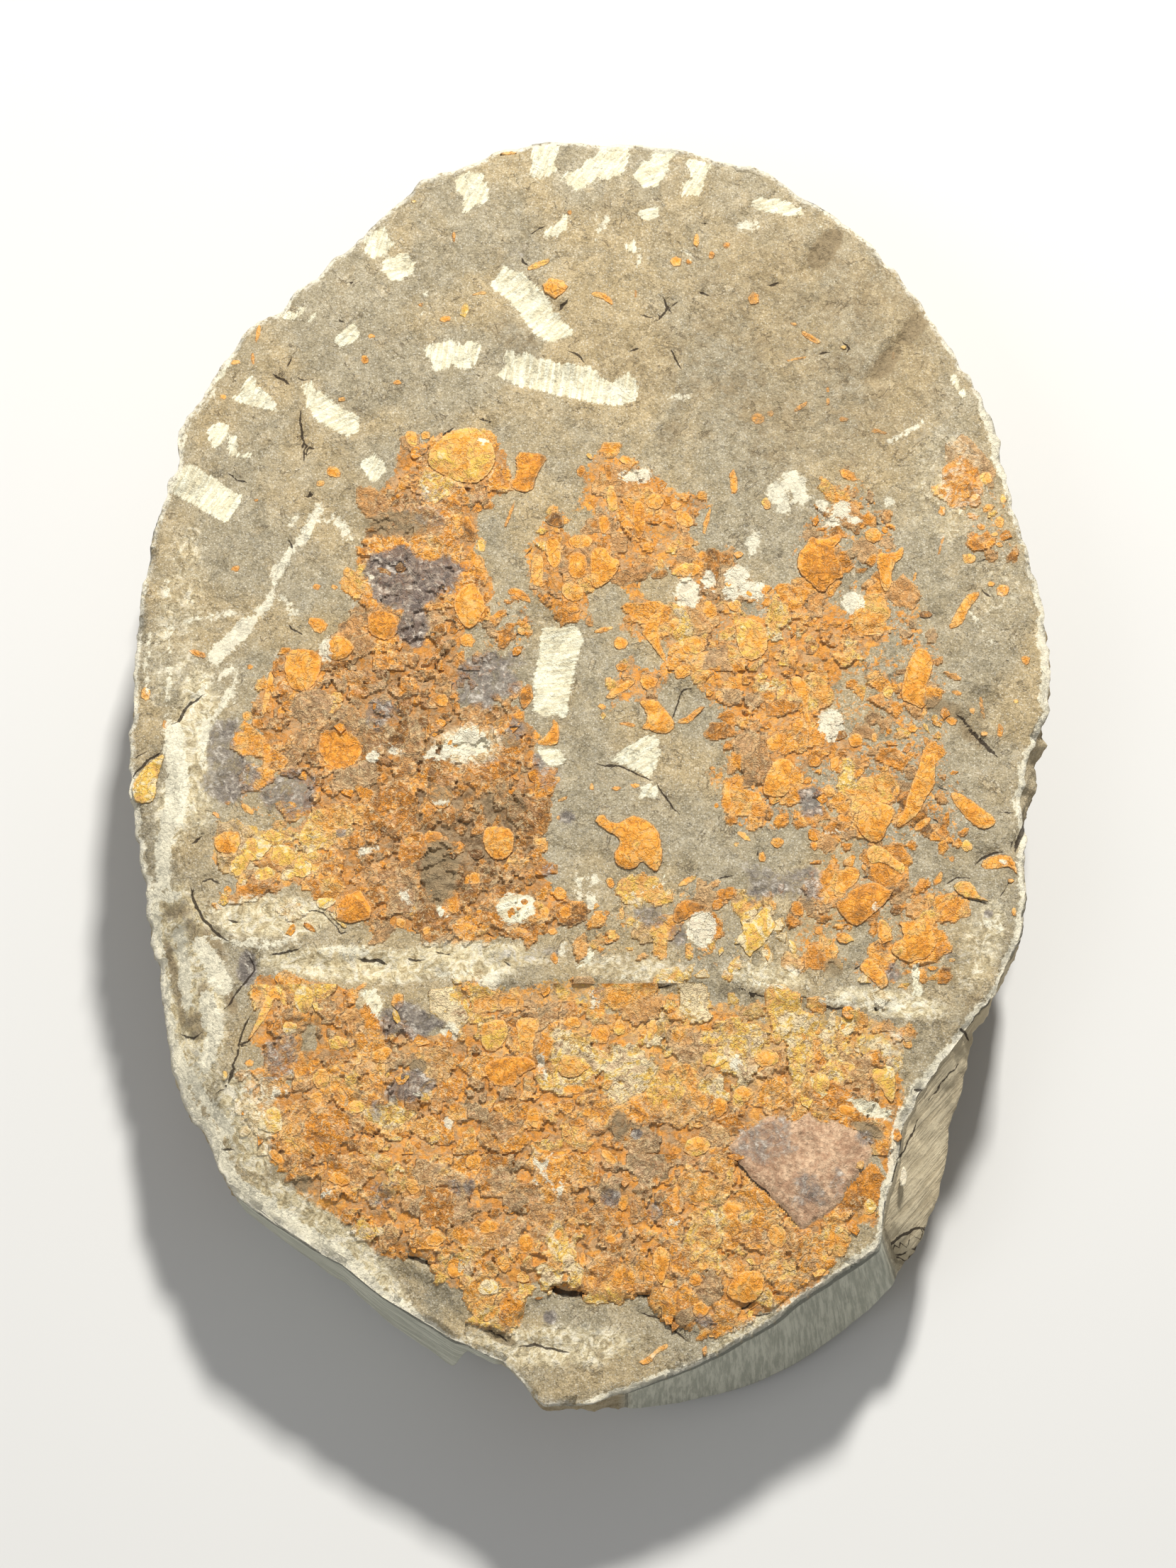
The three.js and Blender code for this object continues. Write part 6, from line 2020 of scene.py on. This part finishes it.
@dataclass(frozen=True)
class Finish:
    """What every finish of the slab shares."""

    name: str
    grains_per_mm: float
    specular: float

    def start(self) -> tuple[bpy.types.Material, NodeTree, Socket]:
        """Starts the material.

        Returns:
            The material, the helper for its nodes, and the object's coordinates in millimetres.
        """
        material = bpy.data.materials.new(self.name)
        material.use_nodes = True
        material.node_tree.nodes.clear()
        lay = NodeTree(material.node_tree)
        place = lay.node("ShaderNodeTexCoord").outputs["Object"]
        return material, lay, lay.vector("MULTIPLY", place, (1 / METRES,) * 3)

    def end(self, lay: NodeTree, colour: Socket, roughness: Socket, height: Socket | None = None) -> None:
        """Joins the colour, the roughness and the relief in millimetres in one shader.

        Args:
            lay: the material's helper.
            colour, roughness: what the shader takes.
            height: relief of the surface, where it has any.
        """
        shader = lay.node("ShaderNodeBsdfPrincipled", {
            "Base Color": colour, "Roughness": roughness, "Specular IOR Level": self.specular})
        if height is not None:
            bump = lay.node("ShaderNodeBump", {"Strength": 1.0, "Distance": METRES, "Height": height})
            lay.feed(shader.inputs["Normal"], bump.outputs[0])
        lay.node("ShaderNodeOutputMaterial", {0: shader.outputs[0]})

    def marked(
            self, lay: NodeTree, groups: FinishGroups, mm: Socket, colour: Socket) -> tuple[Socket, Socket]:
        """Lays the bed's marks over a colour.

        Args:
            lay: the material's helper.
            groups: the shared node groups.
            mm: coordinates in millimetres.
            colour: the colour below.

        Returns:
            The colour with its marks, and the fine parallel scores.
        """
        scores = lay.use(groups.combing, Comb=lay.field("comb", "Vector"), Spacing=1.1)[0]
        return lay.use(
            groups.marked, Color=colour, Scores=scores, Coarse=lay.noise(mm, 0.16, 5.0, 0.62, 0.5),
            Fine=lay.noise(mm, 0.8, 4.0, 0.65), Flake=lay.use(groups.marbling, Vector=mm, Bands=0.3)[0],
            **{key.capitalize(): lay.field(key) for key in LAID_MARKS})[0], scores


@dataclass(frozen=True)
class SiltstoneFinish(Finish):
    """Fine tan siltstone with crushed shell, chalky bruises, stains, and open cracks and hairline creases
    painted dark as shade.
    """

    name: str = "siltstone_matrix"
    grains_per_mm: float = 2.3
    specular: float = 0.2

    def side_colour(self, lay: NodeTree, mm: Socket, colour: Socket, scores: Socket) -> Socket:
        """Colour of the broken, sawn and bevelled sides.

        Args:
            lay: the material's helper.
            mm: coordinates in millimetres.
            colour: colour of the face.
            scores: fine parallel scores.

        Returns:
            The colour of face and sides together.
        """
        beds = lay.vector("MULTIPLY", mm, (0.4, 0.4, 1.0))
        broken = lay.ramp(lay.noise(beds, 0.22, 6.0, 0.66, 1.2), (0.32, 136, 120, 95), (0.46, 170, 154, 126),
                          (0.56, 189, 175, 146), (0.7, 208, 195, 166))
        broken = lay.blend(0.6, broken, colour)
        colour = lay.over(colour, broken, lay.step(lay.field("side"), 0.9, 1.0))
        smoothed = lay.blend(scores, (172, 174, 160), (210, 210, 194))
        colour = lay.over(colour, smoothed, lay.field("sawn"), 0.9)
        return lay.over(colour, lay.blend(scores, (184, 169, 139), (210, 196, 165)), lay.field("bevel"), 0.8)

    def crust_colour(self, lay: NodeTree, groups: FinishGroups, mm: Socket, ragged: Socket) -> Socket:
        """Colour of the thinly crushed shell that lies in the stone itself.

        Args:
            lay: the material's helper.
            groups: the shared node groups.
            mm: coordinates in millimetres.
            ragged: fine noise.

        Returns:
            The colour.
        """
        shade = lay.total((lay.field("chip_tone"), 0.35), (ragged, 0.5), plus=lay.field("shift"), clamp=True)
        shell = lay.use(groups.limonite, Shade=shade)[0]
        return lay.over(shell, (180, 152, 116), lay.step(lay.noise(mm, 0.33, 4.0, 0.7, 0.8), 0.42, 0.6), 0.7)

    def build(self, groups: FinishGroups) -> bpy.types.Material:
        """Builds the material.

        Args:
            groups: the shared node groups.

        Returns:
            The material.
        """
        material, lay, mm = self.start()
        grain = lay.use(groups.grain, Vector=mm, Grains=self.grains_per_mm)
        flecks = lay.use(groups.grain, Vector=mm, Grains=self.grains_per_mm * 0.6)
        patchy, ragged = lay.noise(mm, 0.16, 5.0, 0.62, 0.5), lay.noise(mm, 0.8, 4.0, 0.65)
        colour = lay.ramp(grain["Mottle"], (0.36, 152, 139, 110), (0.47, 175, 162, 133),
                          (0.54, 188, 175, 147), (0.64, 208, 198, 173))
        clouds = lay.step(lay.noise(mm, 0.03, 4.0, 0.6, 0.4), 0.4, 0.62)
        warm = lay.blend(clouds, (232, 232, 232), (255, 243, 222))
        colour = lay.blend(0.8, colour, warm, "MULTIPLY")
        colour = lay.over(colour, (200, 174, 130), lay.step(patchy, 0.54, 0.7), 0.25)
        colour = lay.over(colour, (152, 141, 118), lay.step(patchy, 0.44, 0.32), 0.25)
        for source, share in ((grain, 0.5), (flecks, 0.26)):
            colour = lay.over(colour, (232, 226, 208), source["Pale"], share)
            colour = lay.over(colour, (104, 92, 76), source["Dark"], share)
        # Painted shade: dark brown along winding hairline creases, which the relief also sinks.
        hairline_shade = lay.times(lay.step(lay.folds(mm, 0.11, 6.0, 0.8), 0.011, 0.003), lay.step(patchy, 0.52, 0.58))
        colour = lay.over(colour, (96, 80, 62), hairline_shade, 0.45)

        crust = lay.total((ragged, 1.3), (patchy, 0.7), plus=-1.0)
        crust = lay.step(lay.total((lay.field("cover"), 1.0), plus=crust), 0.42, 0.56)
        colour = lay.over(colour, self.crust_colour(lay, groups, mm, ragged), crust, 0.85)
        crumbs = lay.total((ragged, 0.6), (patchy, 0.4))
        plate = lay.blend(lay.step(crumbs, 0.4, 0.6), (180, 142, 112), (218, 184, 150))
        colour = lay.over(colour, plate, lay.field("pink"))
        colour, scores = self.marked(lay, groups, mm, colour)
        colour = self.side_colour(lay, mm, colour, scores)
        side = lay.field("side")
        colour = lay.over(colour, (222, 215, 196), lay.step(side, 0.15, 0.75), lay.step(side, 1.0, 0.98),
                          lay.step(ragged, 0.4, 0.56), 0.8)

        # Painted shade: the open cracks, and the lines under steps, are coloured near-black as the shade
        # inside them.
        half = lay.field("crack_half")
        beside = lay.math("ABSOLUTE", lay.field("crack_gap"))
        into = lay.total((half, 0.7), (beside, -1.0), (ragged, 0.8), plus=-0.4)
        colour = lay.over(colour, (52, 42, 34), lay.step(into, -0.1, 0.1), lay.step(half, 0.02, 0.1), 0.9)

        facets = {size: lay.use(groups.facets, Vector=mm, Facets=size)[0] for size in (0.12, 0.3, 1.1)}
        height = lay.total((grain["Height"], 0.14), (flecks["Height"], 0.16), (patchy, 0.3), (ragged, 0.25),
                           (facets[0.3], 0.34), (facets[1.1], 0.5),
                           (lay.times(facets[0.12], side), 0.6), (hairline_shade, -0.2))
        lined = lay.math("MAXIMUM", lay.field("sawn"), lay.field("bevel"))
        height = lay.times(height, lay.total((lined, -0.75), plus=1.0))
        height = lay.total((lay.times(scores, lined), 0.12), plus=height)
        self.end(lay, colour, lay.total((crust, -0.12), plus=0.93), height)
        return material


@dataclass(frozen=True, kw_only=True)
class ShellFinish(Finish):
    """Iron-stained shell: even and slightly glossy, with stone colour where stone shows through; where it has
    plate edges, painted shade darkens those edges and the creases, and painted highlight lightens the edge
    strips and the wrinkle crests.
    """

    has_edges: bool
    flaky: bool
    grains_per_mm: float = 2.8
    specular: float = 0.3

    def flakes(self, lay: NodeTree, colour: Socket, wide: Socket, close: Socket) -> Socket:
        """Lays stony, pale and dark flakes over a colour.

        Args:
            lay: the material's helper.
            colour: the colour below.
            wide, close: marbling of the large and of the small flakes.

        Returns:
            The colour.
        """
        busy = lay.step(lay.field("cover"), 0.45, 0.95) if self.has_edges else 0.7
        busy = lay.total((busy, 0.65), plus=0.35)
        for tone, low, high, share, tint in (
                (wide, 0.66, 0.78, 0.55, (194, 158, 122)), (wide, 0.3, 0.16, 0.45, (178, 138, 98)),
                (close, 0.72, 0.82, 0.55, (238, 212, 164)), (close, 0.27, 0.18, 0.6, (138, 92, 52))):
            colour = lay.over(colour, tint, lay.step(tone, low, high), busy, share)
        return colour

    def edges(self, lay: NodeTree, colour: Socket, clouded: Socket, ragged: Socket) -> Socket:
        """Painted highlight as a pale strip and painted shade as a dark line along the edges of the plates.

        Args:
            lay: the material's helper.
            colour: the colour below.
            clouded, ragged: coarse and fine noise.

        Returns:
            The colour.
        """
        gap = lay.total((ragged, 0.5), (lay.field("edge_gap"), 1.0), plus=-0.25)
        # Painted highlight: a pale strip just inside each plate edge.
        colour = lay.over(colour, (236, 208, 158), lay.step(gap, 0.7, 0.3), 0.22)
        # Painted shade: a dark line right at each plate edge.
        return lay.over(colour, (92, 66, 46), lay.step(gap, 0.24, 0.04), lay.step(clouded, 0.34, 0.5), 0.75)

    def build(self, groups: FinishGroups) -> bpy.types.Material:
        """Builds the material.

        Args:
            groups: the shared node groups.

        Returns:
            The material.
        """
        material, lay, mm = self.start()
        grain = lay.use(groups.grain, Vector=mm, Grains=self.grains_per_mm)
        clouded, ragged = lay.noise(mm, 0.3, 4.0, 0.65, 0.4), lay.noise(mm, 1.0, 4.0, 0.65)
        wide, close = (lay.use(groups.marbling, Vector=mm, Bands=size)[0] for size in (0.17, 0.55))
        shade = lay.total((lay.field("tint"), 1.0), (clouded, 0.55), (ragged, 0.4), (wide, 0.34),
                          plus=-0.645, clamp=True)
        stone = lay.blend(lay.step(clouded, 0.42, 0.6), (162, 138, 104), (206, 170, 124))
        colour = lay.over(lay.use(groups.limonite, Shade=shade)[0], stone, lay.field("stony"), 0.85)
        if self.flaky:
            colour = self.flakes(lay, colour, wide, close)
        colour = lay.over(colour, (116, 80, 50), grain["Dark"], 0.45)
        colour = lay.over(colour, (232, 206, 160), grain["Pale"], 0.4)
        facets = lay.use(groups.facets, Vector=mm, Facets=0.6)[0]
        folded, crinkled = lay.folds(mm, 0.34, 4.0, 0.6), lay.folds(mm, 0.9, 3.0, 0.4)
        relief = 1.0 if self.flaky else 0.4
        height = lay.total((grain["Height"], 0.05), (clouded, 0.25), (ragged, 0.15), (facets, 0.3 * relief),
                           (lay.step(folded, 0.0, 0.06), 0.14), (crinkled, relief))
        if self.has_edges:
            # Painted shade in the fold and wrinkle creases, the same lines that the relief sinks.
            colour = lay.over(colour, (98, 70, 46), lay.step(folded, 0.016, 0.004),
                              lay.step(clouded, 0.42, 0.5), 0.6)
            colour = lay.over(colour, (120, 84, 50), lay.step(crinkled, 0.03, 0.0), 0.25)
            # Painted highlight on the wrinkle crests, which the relief raises.
            colour = lay.over(colour, (240, 200, 140), lay.step(crinkled, 0.12, 0.2), 0.3)
            colour = self.edges(lay, colour, clouded, ragged)
            colour = self.marked(lay, groups, mm, colour)[0]
        self.end(lay, colour, lay.total((clouded, 0.25), plus=0.62), height)
        return material


@dataclass
class Studio:
    """Plain pale floor, soft light and the camera. Places and the floor's size are in metres."""

    eye: tuple[float, float, float] = (-0.0006, -0.2855, 1.0053)
    tip: float = 16.0
    lens: float = 60.28
    sensor: float = 24.0
    floor_size: float = 4.0
    key_watts: float = 52.0
    fill_watts: float = 7.0
    air_strength: float = 0.27

    def camera(self) -> None:
        """Sets the camera above the slab, tipped back towards its near end."""
        data = bpy.data.cameras.new("camera")
        data.sensor_fit, data.sensor_height, data.lens = "VERTICAL", self.sensor, self.lens
        data.clip_start, data.clip_end = 0.01, 20
        seen = bpy.data.objects.new("camera", data)
        seen.location, seen.rotation_euler = self.eye, (math.radians(self.tip), 0, 0)
        bpy.context.scene.collection.objects.link(seen)
        bpy.context.scene.camera = seen

    def light(self, name: str, place: tuple, size: float, watts: float, colour: tuple) -> None:
        """Hangs a square soft light that looks at the slab.

        Args:
            name: name of the light.
            place: where it hangs, in metres.
            size: its side, in metres.
            watts: its strength.
            colour: its linear colour.
        """
        data = bpy.data.lights.new(name, "AREA")
        data.shape, data.size, data.energy, data.color = "SQUARE", size, watts, colour
        lamp = bpy.data.objects.new(name, data)
        lamp.location = place
        lamp.rotation_euler = (Vector((0, 0, 0.04)) - Vector(place)).to_track_quat("-Z", "Y").to_euler()
        bpy.context.scene.collection.objects.link(lamp)

    def floor(self) -> None:
        """Lays the floor."""
        half = self.floor_size / METRES / 2
        floor = mesh_object("studio_floor", np.array([
            [-half, -half, 0], [half, -half, 0], [half, half, 0], [-half, half, 0]]), [(0, 1, 2, 3)], {})
        finish = Finish("pale_floor", 0.0, 0.5)
        material, lay, mm = finish.start()
        cloud = lay.noise(mm, 0.0015, 3.0)
        pale = lay.blend(cloud, (208, 207, 204), (218, 217, 214))
        finish.end(lay, pale, lay.total((cloud, 0.1), plus=0.75))
        floor.data.materials.append(material)

    def build(self) -> None:
        """Builds the whole studio."""
        self.camera()
        self.light("key", (0.3, 1.3, 1.35), 0.2, self.key_watts, (1.0, 0.985, 0.95))
        self.light("fill", (-1.1, -0.7, 1.4), 1.2, self.fill_watts, (0.95, 0.97, 1.0))
        self.floor()
        world = bpy.data.worlds.new("studio_air")
        world.use_nodes = True
        air = world.node_tree.nodes["Background"]
        air.inputs["Color"].default_value = (1.0, 1.0, 1.0, 1.0)
        air.inputs["Strength"].default_value = self.air_strength
        bpy.context.scene.world = world
        bpy.context.scene.view_settings.view_transform = "Standard"


# The pieces of shell, each a stretch of the bed from its lowest to its highest Y.
SHELL_STRETCHES = {"upper_bed_shells": (20.0, 200.0), "lower_bed_shells": (-200.0, 20.0)}
CRUST_STRETCHES = ((20.0, 95.0), (-62.0, 20.0), (-105.0, -62.0), (-155.0, -105.0))
HASH_STRETCH = (-155.0, 95.0)
CRUST_SEED = 53
HASH_SEED = 31


def main() -> None:
    """Builds every piece in order and reports each."""
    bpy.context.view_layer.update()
    Studio().build()
    groups = FinishGroups()
    form = SlabForm()
    marks = BedMarks(form)
    slab = SiltstoneSlab(form, marks).build()
    slab.data.materials.append(SiltstoneFinish().build(groups))
    plates = ShellFinish("iron_stained_shell", has_edges=True, flaky=False).build(groups)
    matted = ShellFinish("matted_shell", has_edges=True, flaky=True).build(groups)
    chips = ShellFinish("crushed_shell", has_edges=False, flaky=True).build(groups)
    made = [slab]
    for name, (low_y, high_y) in SHELL_STRETCHES.items():
        shells = ShellFragments(form, marks, name, low_y, high_y).build()
        shells.data.materials.append(plates)
        made.append(shells)
    for number, (low_y, high_y) in enumerate(CRUST_STRETCHES):
        name = f"shell_crust_{number + 1}"
        crust = ShellCrust(form, marks, name, low_y, high_y, CRUST_SEED + number).build()
        crust.data.materials.append(matted)
        made.append(crust)
    made.append(ShellHash(form, "loose_shell_chips", *HASH_STRETCH, HASH_SEED, chips).build())
    for piece in made:
        piece.data.calc_loop_triangles()
        LOG.info("%s: %d triangles", piece.name, len(piece.data.loop_triangles))


if __name__ == "__main__":
    logging.basicConfig(level=logging.INFO, format="%(message)s")
    main()
